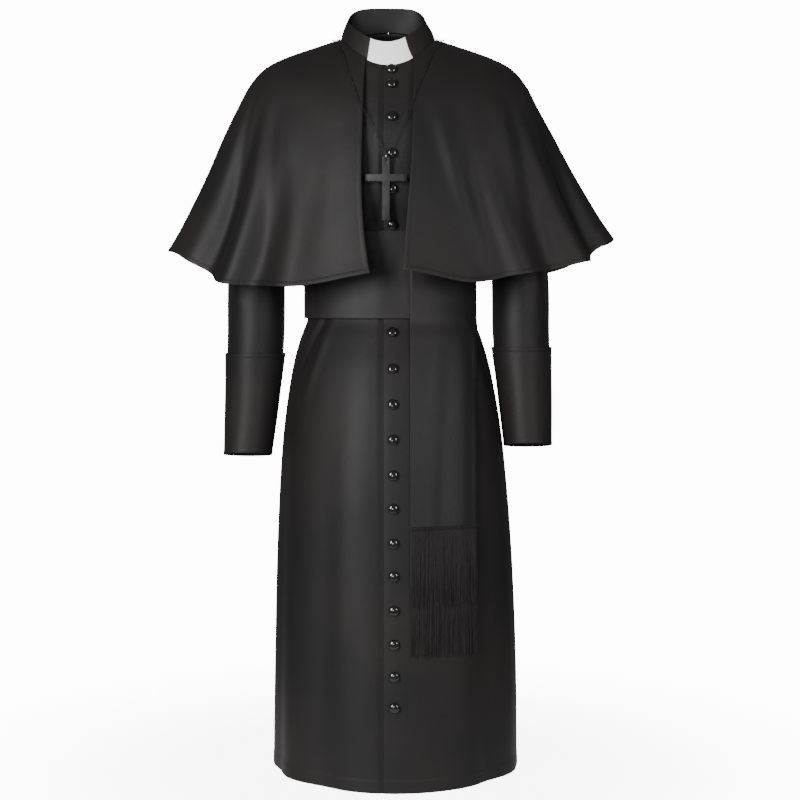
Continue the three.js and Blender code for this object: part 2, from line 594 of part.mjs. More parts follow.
function makeCross() {
  const top = cross.hole + eye.drop;
  const halfBar = cross.bar / 2;
  const halfSpan = cross.span / 2;
  const armTop = top - cross.armDrop + halfBar;
  const outline = new THREE.Shape([
    [halfBar, top], [-halfBar, top], [-halfBar, armTop], [-halfSpan, armTop],
    [-halfSpan, armTop - cross.bar], [-halfBar, armTop - cross.bar], [-halfBar, top - cross.height],
    [halfBar, top - cross.height], [halfBar, armTop - cross.bar], [halfSpan, armTop - cross.bar],
    [halfSpan, armTop], [halfBar, armTop],
  ].map(([x, z]) => new THREE.Vector2(x, z)));
  outline.holes.push(new THREE.Path().absarc(0, cross.hole, eye.radius, 0, 2 * Math.PI, true));
  const flat = { depth: cross.wall, bevelEnabled: false, curveSegments: 12 };
  const plate = new THREE.ExtrudeGeometry(outline, flat);
  plate.rotateX(90 * degree);
  const piece = addPiece('cross', plate, 'darkMetal');
  piece.position.set(cross.x, cross.y + cross.wall / 2, 0);

  const ringCentre = cross.hole + eye.radius + ring.radius - ring.wire - ring.slack;
  const hoop = new THREE.TorusGeometry(ring.radius, ring.wire, ring.sides, ring.steps);
  hoop.rotateY(90 * degree);
  const jump = addPiece('jump_ring', hoop, 'brightMetal');
  jump.position.set(cross.x, cross.y, ringCentre);
}

function makeChain() {
  const section = new THREE.Shape().absarc(0, 0, chain.radius, 0, 2 * Math.PI);
  for (const [name, route] of Object.entries(chainRoutes)) {
    const extrudePath = new THREE.CatmullRomCurve3(route.map((point) => new THREE.Vector3(...point)));
    const count = name === 'bow' ? chain.bowSteps : chain.strandSteps;
    const tube = new THREE.ExtrudeGeometry(section, { steps: count, curveSegments: 4, extrudePath });
    addPiece('neck_chain_' + name, tube, 'darkMetal');
  }
  const barrel = new THREE.CylinderGeometry(clasp.radius, clasp.radius, clasp.length, clasp.sides);
  barrel.rotateZ(90 * degree);
  addPiece('chain_clasp', barrel, 'darkMetal').position.set(clasp.x, clasp.y, clasp.z);
}

makeRobe();
for (const [side, name] of [[-1, 'right'], [1, 'left']]) {
  makeSleeve(side, name);
  makeCuff(side, name);
}
makeCollar();
makeCape();
makeSash();
makeTail('front', tails.front);
makeTail('rear', tails.rear);
makeFringe('front', tails.front);
makeFringe('rear', tails.rear);
makeButtons();
makeCross();
makeChain();

export default costume;
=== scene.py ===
import math

import bmesh
import bpy
import numpy as np
from mathutils import Matrix, Vector
from mathutils.bvhtree import BVHTree


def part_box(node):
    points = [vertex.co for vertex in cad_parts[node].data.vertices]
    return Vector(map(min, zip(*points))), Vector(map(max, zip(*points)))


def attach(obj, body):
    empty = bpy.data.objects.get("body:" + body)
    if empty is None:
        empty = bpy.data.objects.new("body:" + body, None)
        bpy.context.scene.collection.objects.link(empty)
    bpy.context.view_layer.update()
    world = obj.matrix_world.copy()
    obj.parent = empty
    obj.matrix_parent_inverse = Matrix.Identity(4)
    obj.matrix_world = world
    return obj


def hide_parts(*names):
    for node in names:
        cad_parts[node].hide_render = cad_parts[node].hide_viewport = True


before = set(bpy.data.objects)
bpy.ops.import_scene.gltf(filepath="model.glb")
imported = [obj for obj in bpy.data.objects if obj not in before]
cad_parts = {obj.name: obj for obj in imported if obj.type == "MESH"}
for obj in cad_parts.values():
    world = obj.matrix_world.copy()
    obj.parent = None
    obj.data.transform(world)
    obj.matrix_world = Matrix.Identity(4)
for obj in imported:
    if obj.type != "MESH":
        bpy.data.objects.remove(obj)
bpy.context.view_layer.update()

# A clergy cassock costume with its shoulder cape, sash and neck cross. Tables are in millimetres and degrees,
# angles run anticlockwise from above: 0 is the wearer's left (+X), 90 the back, 180 the right, 270 the front.
mm = 0.001
degree = math.pi / 180
wall = 1.6  # cloth thickness
seam = 0.3  # gap where two pieces meet
lap = 0.5  # gap under a piece that lies on another
wallCrease = 0.9  # keeps the cut edges of the cloth square when it is subdivided


def linked(name, data):
    thing = bpy.data.objects.new(name, data)
    bpy.context.collection.objects.link(thing)
    return thing


# Camera, at the photograph's viewing angle
cameraSettings = {"place": (0, -3100, -465), "aim": (14.6, 0, -559), "lens": 76.2, "shiftDown": 0.06}


def aimAt(thing, place, aim):
    thing.location = place
    thing.rotation_euler = (aim - place).to_track_quat("-Z", "Y").to_euler()


def makeCamera():
    place, aim = (Vector(cameraSettings[key]) * mm for key in ("place", "aim"))
    data = bpy.data.cameras.new("camera")
    data.lens = cameraSettings["lens"]
    data.shift_y = -cameraSettings["shiftDown"]
    camera = linked("camera", data)
    aimAt(camera, place, aim)
    bpy.context.scene.camera = camera


# Shader maths: a socket that adds Math nodes when it is used in an expression
class Wire:
    def __init__(self, tree, socket):
        self.tree = tree
        self.socket = socket

    def maths(self, operation, first, second=0.0):
        node = self.tree.nodes.new("ShaderNodeMath")
        node.operation = operation
        plug(self.tree, first, node.inputs[0])
        plug(self.tree, second, node.inputs[1])
        return Wire(self.tree, node.outputs[0])

    def __add__(self, other):
        return self.maths("ADD", self, other)

    def __rsub__(self, other):
        return self.maths("SUBTRACT", other, self)

    def __mul__(self, other):
        return self.maths("MULTIPLY", self, other)

    __radd__ = __add__
    __rmul__ = __mul__


def plug(tree, value, socket):
    if isinstance(value, Wire):
        tree.links.new(value.socket, socket)
    else:
        socket.default_value = value


class Paint:
    def __init__(self, name, uniform):
        self.material = bpy.data.materials.new(name)
        self.material.use_nodes = True
        self.tree = self.material.node_tree
        self.shader = self.tree.nodes["Principled BSDF"]
        for socket, value in uniform.items():
            self.shader.inputs[socket].default_value = value

    # any node: its type, its settings, the values or links of its sockets, and the output that is wanted
    def node(self, kind, settings=None, sockets=None, output=0):
        node = self.tree.nodes.new(kind)
        for key, value in (settings or {}).items():
            if key == "stops":
                for element, (place, tone) in zip(node.color_ramp.elements, value):
                    element.position = place
                    element.color = (tone, tone, tone, 1)
            else:
                setattr(node, key, value)
        for key, value in (sockets or {}).items():
            plug(self.tree, value, node.inputs[key])
        return Wire(self.tree, node.outputs[output])

    def mix(self, factor, first, second):
        settings = {"data_type": "RGBA"}
        return self.node("ShaderNodeMix", settings, {0: factor, 6: first, 7: second}, 2)

    def place(self, source="Object", scale=(1, 1, 1), turn=(0, 0, 0)):
        coordinates = self.node("ShaderNodeTexCoord", output=source)
        return self.node("ShaderNodeMapping", None, {"Vector": coordinates, "Scale": scale, "Rotation": turn})

    def noise(self, vector, scale, detail=2.0):
        return self.node("ShaderNodeTexNoise", None, {"Vector": vector, "Scale": scale, "Detail": detail})

    def ramp(self, value, start, end):
        return self.node("ShaderNodeValToRGB", {"stops": [(start, 0), (end, 1)]}, {"Fac": value})

    def give(self, **sockets):
        for key, value in sockets.items():
            plug(self.tree, value, self.shader.inputs[key.replace("_", " ")])

    def bump(self, height, strength, distance):
        sockets = {"Height": height, "Strength": strength, "Distance": distance}
        self.give(Normal=self.node("ShaderNodeBump", None, sockets))


# Twill with a faint satin face: warm and cool charcoal drift into each other over a hand's width
twillSettings = {
    "robe": {"warm": (0.0165, 0.0128, 0.0122, 1), "cool": (0.0092, 0.0086, 0.0092, 1), "rough": 0.44},
    # the sash and its tails: the robe's cloth with its tones painted lighter, painted light standing in for
    # the light on the band
    "sash": {"warm": (0.024, 0.0205, 0.0212, 1), "cool": (0.015, 0.0143, 0.0155, 1), "rough": 0.42},
    "uniform": {"Specular IOR Level": 0.24, "Sheen Weight": 0.02, "Sheen Roughness": 0.4},
    # scales of the patterns, and the part of each noise that shows
    "wale": 520.0,  # the diagonal ribs, about 1 mm apart
    "slub": 1500.0,
    "drift": 4.2,
    "driftRange": (0.38, 0.64),
    "handling": 17,
    "lint": 2600,
    "lintRange": (0.73, 0.8),
    "groove": (0.012, 0.011, 0.011, 1),
    "lintTone": (0.12, 0.115, 0.11, 1),
}


def makeTwill(name):
    plan = twillSettings
    tones = plan[name]
    paint = Paint(name + "Twill", plan["uniform"])
    cloth = paint.place("UV")
    wales = paint.node(
        "ShaderNodeTexWave",
        {"bands_direction": "DIAGONAL"},
        {"Vector": cloth, "Scale": plan["wale"], "Distortion": 0.8, "Detail": 1.0},
        "Fac",
    )
    slub = paint.noise(paint.place("UV", (1, 0.12, 1)), plan["slub"])
    drift = paint.ramp(paint.noise(paint.place("Object"), plan["drift"]), *plan["driftRange"])
    handling = paint.noise(paint.place("Object", (1, 1, 0.35)), plan["handling"], 3.0)
    tone = paint.mix(drift, tones["cool"], tones["warm"])
    lint = paint.ramp(paint.noise(cloth, plan["lint"], 0.0), *plan["lintRange"])
    ribbed = paint.mix(wales * 0.22 + slub * 0.12, tone, plan["groove"])
    paint.give(Base_Color=paint.mix(lint * 0.10, ribbed, plan["lintTone"]))
    paint.give(Roughness=tones["rough"] + handling * 0.16 + wales * 0.04)
    paint.bump(wales * 0.6 + slub * 0.4, 0.3, 0.00025)
    return paint.material


# Thread of the stitching and the fringe, twisted
def makeThread():
    uniform = {"Specular IOR Level": 0.3, "Sheen Weight": 0.05, "Sheen Roughness": 0.35}
    paint = Paint("blackThread", uniform)
    plies = paint.node(
        "ShaderNodeTexWave", None, {"Vector": paint.place("Object", (1, 1, 0.5)), "Scale": 900.0}, "Fac"
    )
    patch = paint.noise(paint.place("Object"), 60)
    paint.give(Base_Color=paint.mix(patch, (0.009, 0.008, 0.008, 1), (0.022, 0.0195, 0.019, 1)))
    paint.give(Roughness=0.5 + patch * 0.15)
    paint.bump(plies, 0.25, 0.0002)
    return paint.material


# The white insert: smooth linen-faced plastic with a trace of grain, and a faint glow of painted light, an
# emission that keeps it white
tabLookPaintedGlow = {"Specular IOR Level": 0.5, "Emission Color": (1, 1, 0.99, 1), "Emission Strength": 0.3}


def makeTabWhite():
    # the tab's emission is painted light: it glows though it is no lamp
    paint = Paint("tabWhite", tabLookPaintedGlow)
    grain = paint.noise(paint.place("UV", (1, 0.3, 1)), 900, 3.0)
    haze = paint.noise(paint.place("Object"), 45)
    paint.give(Base_Color=paint.mix(haze * 0.5, (0.96, 0.96, 0.955, 1), (0.92, 0.92, 0.91, 1)))
    paint.give(Roughness=0.42 + grain * 0.15)
    paint.bump(grain, 0.12, 0.0001)
    return paint.material


# Polished black buttons, with the finest rubbing marks
def makeButtonBlack():
    paint = Paint("buttonBlack", {"Specular IOR Level": 0.55, "Coat Roughness": 0.05})
    rub = paint.noise(paint.place("Object"), 420, 4.0)
    paint.give(Base_Color=paint.mix(rub, (0.006, 0.006, 0.007, 1), (0.014, 0.013, 0.014, 1)))
    paint.give(Roughness=0.09 + paint.ramp(rub, 0.45, 0.8) * 0.12)
    paint.give(Coat_Weight=0.35 + rub * 0.25)
    return paint.material


# Metals: brushed along one direction, tone and gloss uneven, darker where fingers have been
metalSettings = {
    # dark tone, light tone, metallic, roughness
    "cross": ((0.022, 0.022, 0.023, 1), (0.042, 0.042, 0.043, 1), 0.6, 0.44),
    "chain": ((0.025, 0.025, 0.027, 1), (0.065, 0.064, 0.063, 1), 0.8, 0.36),
    "ring": ((0.42, 0.42, 0.43, 1), (0.62, 0.62, 0.63, 1), 1.0, 0.2),
}


def makeMetal(name):
    dark, light, metallic, rough = metalSettings[name]
    paint = Paint(name + "Metal", {"Metallic": metallic})
    brushed = paint.noise(paint.place("Object", (1, 1, 0.03)), 1600, 3.0)
    patch = paint.noise(paint.place("Object"), 70, 4.0)
    paint.give(Base_Color=paint.mix(paint.ramp(patch, 0.3, 0.7), dark, light))
    paint.give(Roughness=rough + brushed * 0.16 + patch * 0.08)
    paint.bump(brushed, 0.15, 0.00008)
    return paint.material


# Meshes
def addPiece(name, mesh, material, nodes=(), body="garment"):
    piece = linked(name, mesh)
    mesh.materials.clear()
    mesh.materials.append(material)
    mesh.shade_smooth()
    if nodes:
        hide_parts(*nodes)
    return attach(piece, body)


def meshFrom(name, bm):
    mesh = bpy.data.meshes.new(name)
    bm.to_mesh(mesh)
    bm.free()
    return mesh


# A cloth from a grid of points, columns anticlockwise and rows upwards, with a UV map in metres
def clothMesh(name, points, ring=False):
    tall, wide = points.shape[:2]
    bm = bmesh.new()
    bmesh.ops.create_grid(bm, x_segments=wide - 1, y_segments=tall - 1, size=0.5, calc_uvs=False)
    across = np.linalg.norm(np.diff(points[tall // 3], axis=0), axis=1)
    along = np.linalg.norm(np.diff(points[:, wide // 2], axis=0), axis=1)
    us = np.concatenate([[0], np.cumsum(across)]) * mm
    vs = np.concatenate([[0], np.cumsum(along)]) * mm
    place = {v: (round((v.co.y + 0.5) * (tall - 1)), round((v.co.x + 0.5) * (wide - 1))) for v in bm.verts}
    layer = bm.loops.layers.uv.new("cloth")
    for face in bm.faces:
        for loop in face.loops:
            j, i = place[loop.vert]
            loop[layer].uv = (us[i], vs[j])
    for vert, (j, i) in place.items():
        vert.co = Vector(points[j, i]) * mm
    if ring:
        bmesh.ops.remove_doubles(bm, verts=bm.verts[:], dist=0.00001)
    return meshFrom(name, bm)


def thicken(piece, thickness=wall):
    solid = piece.modifiers.new("clothWall", "SOLIDIFY")
    solid.thickness = thickness * mm
    solid.offset = -1
    solid.edge_crease_inner = wallCrease
    solid.edge_crease_outer = wallCrease
    soft = piece.modifiers.new("softEdges", "SUBSURF")
    soft.levels = 1
    soft.render_levels = 1


def addCloth(name, points, material, node, thickness=wall, ring=False):
    piece = addPiece(name, clothMesh(name, points, ring), material, [node])
    thicken(piece, thickness)
    return piece


# Copies of one mesh, each moved by its matrix, as one mesh
def copiesOf(name, template, places):
    bm = bmesh.new()
    for place in places:
        copy = template.copy()
        copy.transform(place)
        bm.from_mesh(copy)
        bpy.data.meshes.remove(copy)
    return meshFrom(name, bm)


# Many fine threads, each a short run of points, as one mesh
def threadMesh(name, runs, radius):
    curve = bpy.data.curves.new(name, "CURVE")
    curve.dimensions = "3D"
    curve.bevel_depth = radius * mm
    curve.bevel_resolution = 1
    curve.use_fill_caps = True
    for run in runs:
        spline = curve.splines.new("POLY")
        spline.points.add(len(run) - 1)
        for point, co in zip(spline.points, run):
            point.co = (*(Vector(co) * mm), 1)
    holder = bpy.data.objects.new(name + "Curve", curve)
    mesh = bpy.data.meshes.new_from_object(holder)
    bpy.data.objects.remove(holder)
    mesh.name = name
    return mesh


def smoothPath(points, spacing, steps=20):
    points = np.array(points, float)
    padded = np.vstack([2 * points[0] - points[1], points, 2 * points[-1] - points[-2]])
    fine = []
    for k in range(1, len(points)):
        a, b, c, d = padded[k - 1:k + 3]
        for t in np.linspace(0, 1, steps, endpoint=False):
            fine.append(b + t / 2 * (c - a + t * (2 * a - 5 * b + 4 * c - d + t * (3 * b - a - 3 * c + d))))
    fine.append(points[-1])
    return evenly(np.array(fine), spacing)


def evenly(points, spacing):
    reach = np.concatenate([[0], np.cumsum(np.linalg.norm(np.diff(points, axis=0), axis=1))])
    stops = np.linspace(0, reach[-1], max(2, round(reach[-1] / spacing) + 1))
    return np.stack([np.interp(stops, reach, points[:, k]) for k in range(3)], axis=1)


# Rows of stitches along a line of points that lies on the cloth
stitchSettings = {"length": 2.3, "pitch": 3.4, "radius": 0.24, "rise": 0.16, "sink": 0.2}


def stitches(name, lines, material):
    plan = stitchSettings
    pitch = plan["pitch"]
    runs = []
    for line, outward in lines:
        stops = evenly(line, pitch)
        outs = evenly(line + outward, pitch)
        count = min(len(stops), len(outs)) - 1
        for k in range(count):
            out = outs[k] - stops[k]
            out = out / max(np.linalg.norm(out), 1e-6)
            start = stops[k]
            end = start + (stops[k + 1] - start) * (plan["length"] / pitch)
            middle = (start + end) / 2 + out * plan["rise"]
            runs.append([start - out * plan["sink"], middle, end - out * plan["sink"]])
    addPiece(name, threadMesh(name, runs, plan["radius"]), material)


# Forms of the cloth, the same as the solids' and with finer creases
def columnAt(table, column, row):
    values = np.array([level[column] for level in table], float)
    last = len(values) - 1
    i = np.clip(np.floor(row).astype(int), 0, last - 1)
    t = row - i
    start, end = values[i], values[i + 1]
    before = np.where(i > 0, values[i - 1], 2 * start - end)
    after = np.where(i + 2 <= last, values[np.minimum(i + 2, last)], 2 * end - start)
    leave, arrive = (end - before) / 2, (after - start) / 2
    rise = end - start
    return start + t * (leave + t * (3 * rise - 2 * leave - arrive + t * (leave + arrive - 2 * rise)))


ringKeys = ("z", "zFront", "zBack", "half", "front", "back", "x", "y")
frontKeys = ringKeys + ("left", "right")
armKeys = ("z", "zLeft", "x", "left", "y", "half", "deep")


def levelTable(keys, rows):
    return [dict(zip(keys, row)) for row in rows]


def rowsLike(angles, rows):
    return np.broadcast_to(rows[:, None], angles.shape)


def columnsAt(table, keys, row):
    return {key: columnAt(table, key, row) for key in keys}


def smoothstep(value, low, high):
    t = np.clip((value - low) / (high - low), 0, 1)
    return t * t * (3 - 2 * t)


def turnTo(angle, at):
    return (angle - at + 180) % 360 - 180


def foldsAt(folds, angle, row):
    lift = 0
    for at, width, height, low, high in folds:
        lift = lift + height * (1 - smoothstep(row, low, high)) * np.exp(-((turnTo(angle, at) / width) ** 2))
    return lift


# A crease's height, at t from 0 to 1 along it and a distance away from its line
def creaseHeight(t, away, width, height):
    return height * np.sin(math.pi * t) ** 0.7 * np.exp(-((away / width) ** 2))


# A crease runs from one angle at its top to another at its bottom, and dies out softly at both ends
def creasesAt(creases, angle, z, radius):
    lift = 0
    for at, to, top, bottom, width, height in creases:
        t = np.clip((top - z) / (top - bottom), 0, 1)
        away = turnTo(angle, at + (to - at) * t) * degree * radius
        lift = lift + creaseHeight(t, away, width, height)
    return lift


def clothPoint(form, angle, row):
    angle, row = np.broadcast_arrays(np.asarray(angle, float), np.asarray(row, float))
    at = columnsAt(form["levels"], ringKeys, row)
    across, deep = np.cos(angle * degree), np.sin(angle * degree)
    if "square" in form["levels"][0]:
        power = np.where(deep > 0, columnAt(form["levels"], "square", row), 2)
        stretch = (np.abs(across) ** power + np.abs(deep) ** power) ** (-1 / power)
        across, deep = across * stretch, deep * stretch
    depth = np.where(deep < 0, at["front"], at["back"])
    end = np.where(deep < 0, at["zFront"], at["zBack"])
    z = at["z"] + (end - at["z"]) * deep * deep + foldsAt(form.get("drops", []), angle, row)
    outX, outY = across / at["half"], deep / depth
    size = np.hypot(outX, outY)
    radius = (at["half"] + depth) / 2
    shift = foldsAt(form["folds"], angle, row) + creasesAt(form["creases"], angle, z, radius)
    x = at["x"] + at["half"] * across + outX / size * shift
    y = at["y"] + depth * deep + outY / size * shift
    return np.stack([x, y, z], axis=-1)


# The direction out of a cloth, from the points a small turn and a small part of a row to either side
def outwards(form, angle, row, turn=0.7, rise=0.04):
    along = clothPoint(form, angle + turn, row) - clothPoint(form, angle - turn, row)
    up = clothPoint(form, angle, row + rise) - clothPoint(form, angle, row - rise)
    normal = np.cross(along, up)
    return normal / np.linalg.norm(normal, axis=-1, keepdims=True)


def bodyPoint(form, angle, row, lift=0.0):
    normal = outwards(form, np.asarray(angle, float), np.asarray(row, float))
    return clothPoint(form, angle, row) + normal * np.asarray(lift, float)[..., None]


def frontAngle(form, x, row):
    across = (x - columnAt(form["levels"], "x", row)) / columnAt(form["levels"], "half", row)
    return 360 - np.arccos(np.clip(across, -1, 1)) / degree


# How a turned and stitched edge stands: a double layer, the pull of the stitches, and a rounded edge
turnSettings = {"before": 0.5, "after": 2.5, "pullWidth": 1.4, "edgeDrop": 0.4, "edgeWidth": 1.2}


def turned(distance, line, layer=0.55, pull=0.6):
    plan = turnSettings
    raised = layer * (1 - smoothstep(distance, line - plan["before"], line + plan["after"]))
    pulled = pull * np.exp(-(((distance - line) / plan["pullWidth"]) ** 2))
    return raised - pulled - plan["edgeDrop"] * np.exp(-((distance / plan["edgeWidth"]) ** 2))


# Robe. Folds: at, width, height, low row, high row. Creases: at, to, top, bottom, width, height
robeSettings = {
    "levels": levelTable(ringKeys, [
        (-1312, -1317, -1313, 224, 200, 200, 6, 0),
        (-1110, -1110, -1110, 221, 193, 196, 6, 0),
        (-900, -900, -900, 214, 182, 188, 4, 0),
        (-720, -720, -720, 201, 168, 174, 1, 0),
        (-600, -600, -600, 183, 146, 152, -1, 0),
        (-535, -535, -535, 166, 124, 126, -2, 0),
        (-490, -490, -490, 150.5, 107.5, 102.5, -2, 0),
        (-420, -420, -420, 150, 107, 102, -2, 0),
        (-345, -345, -345, 151.5, 108, 103, -2, 0),
        (-280, -285, -280, 168, 119, 114, -5, 0),
        (-215, -225, -215, 184, 121, 118, -7, 0),
        (-130, -165, -120, 194, 117, 118, -7, 0),
        (-42, -115, -40, 196, 104, 112, -7, 2),
        (-17, -79, 4, 149, 90, 96, -7, 2),
        (5, -46, 34, 88, 78, 78, -7, 2),
    ]),
    "folds": [
        (198, 8, -5, 0, 5.2), (213, 8, 4, 0, 4.6), (236, 9, -6, 0, 4.2), (318, 8, -6, 0, 4.4),
        (338, 9, 4, 0, 5.0), (18, 9, -11, 0, 5.0), (40, 9, 9, 0, 5.4), (62, 8, -10, 0, 5.6),
        (84, 9, 8, 0, 5.2), (108, 9, -10, 0, 5.5), (131, 9, 9, 0, 5.0), (156, 9, -9, 0, 5.3),
    ],
    "creases": [
        (224, 205, -470, -600, 7, -3.4), (217, 199, -478, -560, 4.5, 2.4), (229, 214, -480, -660, 9, 2.6),
        (249, 244, -490, -1240, 24, 2.0), (262.5, 264, -505, -1290, 13, -1.7),
        (252, 258, -700, -1300, 16, 1.3),
        (323, 322, -490, -760, 14, -2.4), (333, 345, -470, -690, 8, -2.8), (341, 350, -478, -620, 5, 2.2),
        (290, 291, -560, -1300, 18, -1.8), (302, 305, -760, -1300, 20, 1.8), (345, 352, -640, -1250, 14, 1.6),
        (14, 9, -474, -640, 7, -2.8), (33, 36, -476, -760, 8, -2.4), (52, 55, -476, -650, 6, 2.2),
        (74, 71, -474, -800, 8, -2.6), (93, 97, -476, -700, 7, 2.4), (117, 113, -474, -820, 9, -2.6),
        (139, 143, -476, -660, 6, 2.2), (165, 171, -474, -700, 8, -2.4), (262, 263, -90, -350, 7, -1.5),
        (283, 281, -90, -350, 9, 1.1), (225, 215, -230, -352, 9, -2.2), (311, 322, -230, -352, 10, -2.0),
        (60, 66, -120, -355, 12, -2.2), (118, 112, -120, -355, 12, -2.0), (90, 91, -60, -300, 16, 1.4),
    ],
    "rowsPerLevel": [14, 14, 12, 9, 6, 4, 5, 5, 5, 4],
    "hemRows": [0, 0.012, 0.03, 0.055, 0.08, 0.1, 0.115, 0.13, 0.15, 0.19],
    "hemLine": 24,
    "hemTall": 40,  # height over which the hem's turning is worked out
    "neckRows": [12.6, 13, 13.5, 14],
    "edgeColumns": (0, 2, 5, 9),  # millimetres from the placket's edge
    "seamColumn": 1.5,  # millimetres from a side seam
    "armhole": {"level": 11.15, "reach": 1.05, "spread": 27, "steps": 18},
    "placketX": -15,
    "underlap": 40,
    "underColumns": (-6, -2, 8, 20),  # millimetres from the placket's edge
    "underStep": 0.55,  # share of the underlap's depth at its first column
    "stitchPoints": 400,
    "stitchLevel": 199,  # about the height of the lowest level, where the hem's stitches run
    "columns": {"left": 42, "right": 36, "back": 84},
}


def robePoint(angle, row, lift=0.0):
    return bodyPoint(robeSettings, angle, row, lift)


def seamAngle(form, row):
    return seam / 2 / columnAt(form["levels"], "front", row) / degree


def armholeRows():
    hole = robeSettings["armhole"]
    turns = np.linspace(-90, 90, hole["steps"] + 1) * degree
    return hole["level"] + hole["reach"] * np.sin(turns), hole["spread"] * np.cos(turns)


def robeRows():
    skirt = [row for level, count in enumerate(robeSettings["rowsPerLevel"])
             for row in np.linspace(level, level + 1, count, endpoint=False)
             if row > robeSettings["hemRows"][-1]]
    rows, spreads = armholeRows()
    above = robeSettings["neckRows"]
    rows = np.concatenate([robeSettings["hemRows"], skirt, [10], rows, above])
    spread = np.concatenate([np.zeros(len(rows) - len(spreads) - len(above)), spreads, np.zeros(len(above))])
    return rows, spread


def robePanel(name, node, rows, angles, lifts, material):
    angles = np.stack(angles, axis=1)
    rowGrid = rowsLike(angles, rows)
    height = clothPoint(robeSettings, angles, rowGrid)[..., 2]
    height = height - height[:1]
    hem = np.where(height < robeSettings["hemTall"], turned(height, robeSettings["hemLine"]), 0)
    points = robePoint(angles, rowGrid, np.broadcast_to(lifts, angles.shape) + hem)
    return addCloth(name, points, material, node)


def spread(first, last, count):
    return [first + (last - first) * k / count for k in range(count + 1)]


def makeRobe(material):
    plan = robeSettings
    rows, gaps = robeRows()
    placket = plan["placketX"]
    edge = frontAngle(plan, placket, rows)
    half = columnAt(plan["levels"], "half", rows)
    side = seamAngle(plan, rows) + gaps
    columns = plan["columns"]
    near = [edge + distance / half / degree for distance in plan["edgeColumns"]]
    close = plan["seamColumn"] / half / degree
    left = near + spread(near[-1], 360 - side - close, columns["left"])[1:] + [360 - side]
    frontLeft = robePanel("robeFrontLeft", "robe_front_left", rows, left, 0, material)
    sunk = -(wall + 2 * lap)
    last = edge - plan["edgeColumns"][-1] / half / degree
    right = [180 + side] + spread(180 + side + close, last, columns["right"])
    flushCount = len(right)
    under = plan["underColumns"] + (plan["underlap"],)
    for distance in under:
        right.append(frontAngle(plan, placket + distance, rows))
    lifts = np.array([0] * flushCount + [sunk * plan["underStep"]] + [sunk] * (len(under) - 1))
    frontRight = robePanel("robeFrontRight", "robe_front_right", rows, right, lifts, material)
    backAngles = [side] + spread(side + close, 180 - side - close, columns["back"]) + [180 - side]
    back = robePanel("robeBack", "robe_back", rows, backAngles, 0, material)
    hemRow = np.full(plan["stitchPoints"], plan["hemLine"] / plan["stitchLevel"])
    hemLine = np.linspace(0, 359, plan["stitchPoints"])
    outward = outwards(plan, hemLine, hemRow)
    stitches("robeHemStitches", [(robePoint(hemLine, hemRow, -0.02), outward)], threadBlack)
    return frontLeft


# Sleeves and cuffs. Rings run down the arm: z and x for the wearer's right, zLeft and left for the left
armSettings = {
    "rings": levelTable(armKeys, [
        (-262, -262, -246, 228, 4, 49, 62),
        (-350, -350, -247, 231, 2, 51, 62),
        (-447, -445, -248, 235, 0, 52, 60),
        (-545, -535, -249, 236, -5, 52, 57),
        (-648, -634, -255, 242, -14, 48, 52),
        (-745, -728, -262, 247, -26, 42, 46),
    ]),
    # turn at the top, turn at the bottom, top row, bottom row, width in degrees, height
    "creases": [
        (60, 84, 0.2, 2.3, 9, 2.2), (96, 112, 0.1, 2.0, 10, -2.6), (132, 118, 0.3, 2.6, 9, 2.0),
        (150, 160, 0.6, 3.1, 11, -2.4), (40, 28, 0.8, 2.9, 12, -2.2), (205, 188, 0.4, 2.7, 12, 2.4),
        (232, 250, 0.3, 2.9, 11, -2.6), (275, 262, 0.6, 2.4, 12, 2.4), (310, 322, 0.5, 2.8, 11, -2.4),
        (340, 345, 1.0, 2.9, 9, 1.8), (75, 66, 3.3, 4.95, 14, 1.1), (118, 126, 3.4, 4.9, 12, -1.3),
        (250, 244, 3.3, 4.9, 14, -1.2),
    ],
    "cuffTop": 3.15,
    "cuffProud": 1.4,
    "cuffEase": 0.7,
    "rowTall": 100,  # millimetres from one ring to the next
    "cuffMiddle": (22, 12),  # its distance from the edges, and its rows
    "mouthTilt": 0.16,
    "mouthShort": 0.03,
    "headGap": 0.15,
    "headBend": (0.1, 0.12),
    "headRows": 12,
    "armRows": 44,
    "cuffRows": [0, 1.5, 4, 6, 7.5, 9, 12],  # millimetres from an edge of the cuff
    "cuffLine": 7.5,
}


def armCreases(turn, row):
    lift = 0
    for at, to, top, bottom, width, height in armSettings["creases"]:
        t = np.clip((row - top) / (bottom - top), 0, 1)
        away = turnTo(turn, at + (to - at) * t)
        lift = lift + creaseHeight(t, away, width, height)
    return lift


def armPoint(side, turn, row, lift=0.0):
    at = columnsAt(armSettings["rings"], armKeys, row)
    lift = lift + armCreases(turn, row)
    inward, forward = -side * np.cos(turn * degree), np.sin(turn * degree)
    tilt = armSettings["mouthTilt"] * smoothstep(row, 3, 5)
    x = at["x" if side < 0 else "left"] + (at["half"] + lift) * inward
    y = at["y"] - (at["deep"] + lift) * forward
    z = at["z" if side < 0 else "zLeft"] + tilt * at["deep"] * forward
    return np.stack(np.broadcast_arrays(x, y, z), axis=-1)


# A ring of turns closed on itself, in the order that faces its cloth outwards
def armRing(side):
    count = 2 * robeSettings["armhole"]["steps"]
    turns = np.arange(count + 1) * 360 / count
    return turns, slice(None) if side > 0 else slice(None, None, -1)


def ringAt(side, turns, row, lift=0.0):
    return armPoint(side, turns, np.full(len(turns), row), lift)


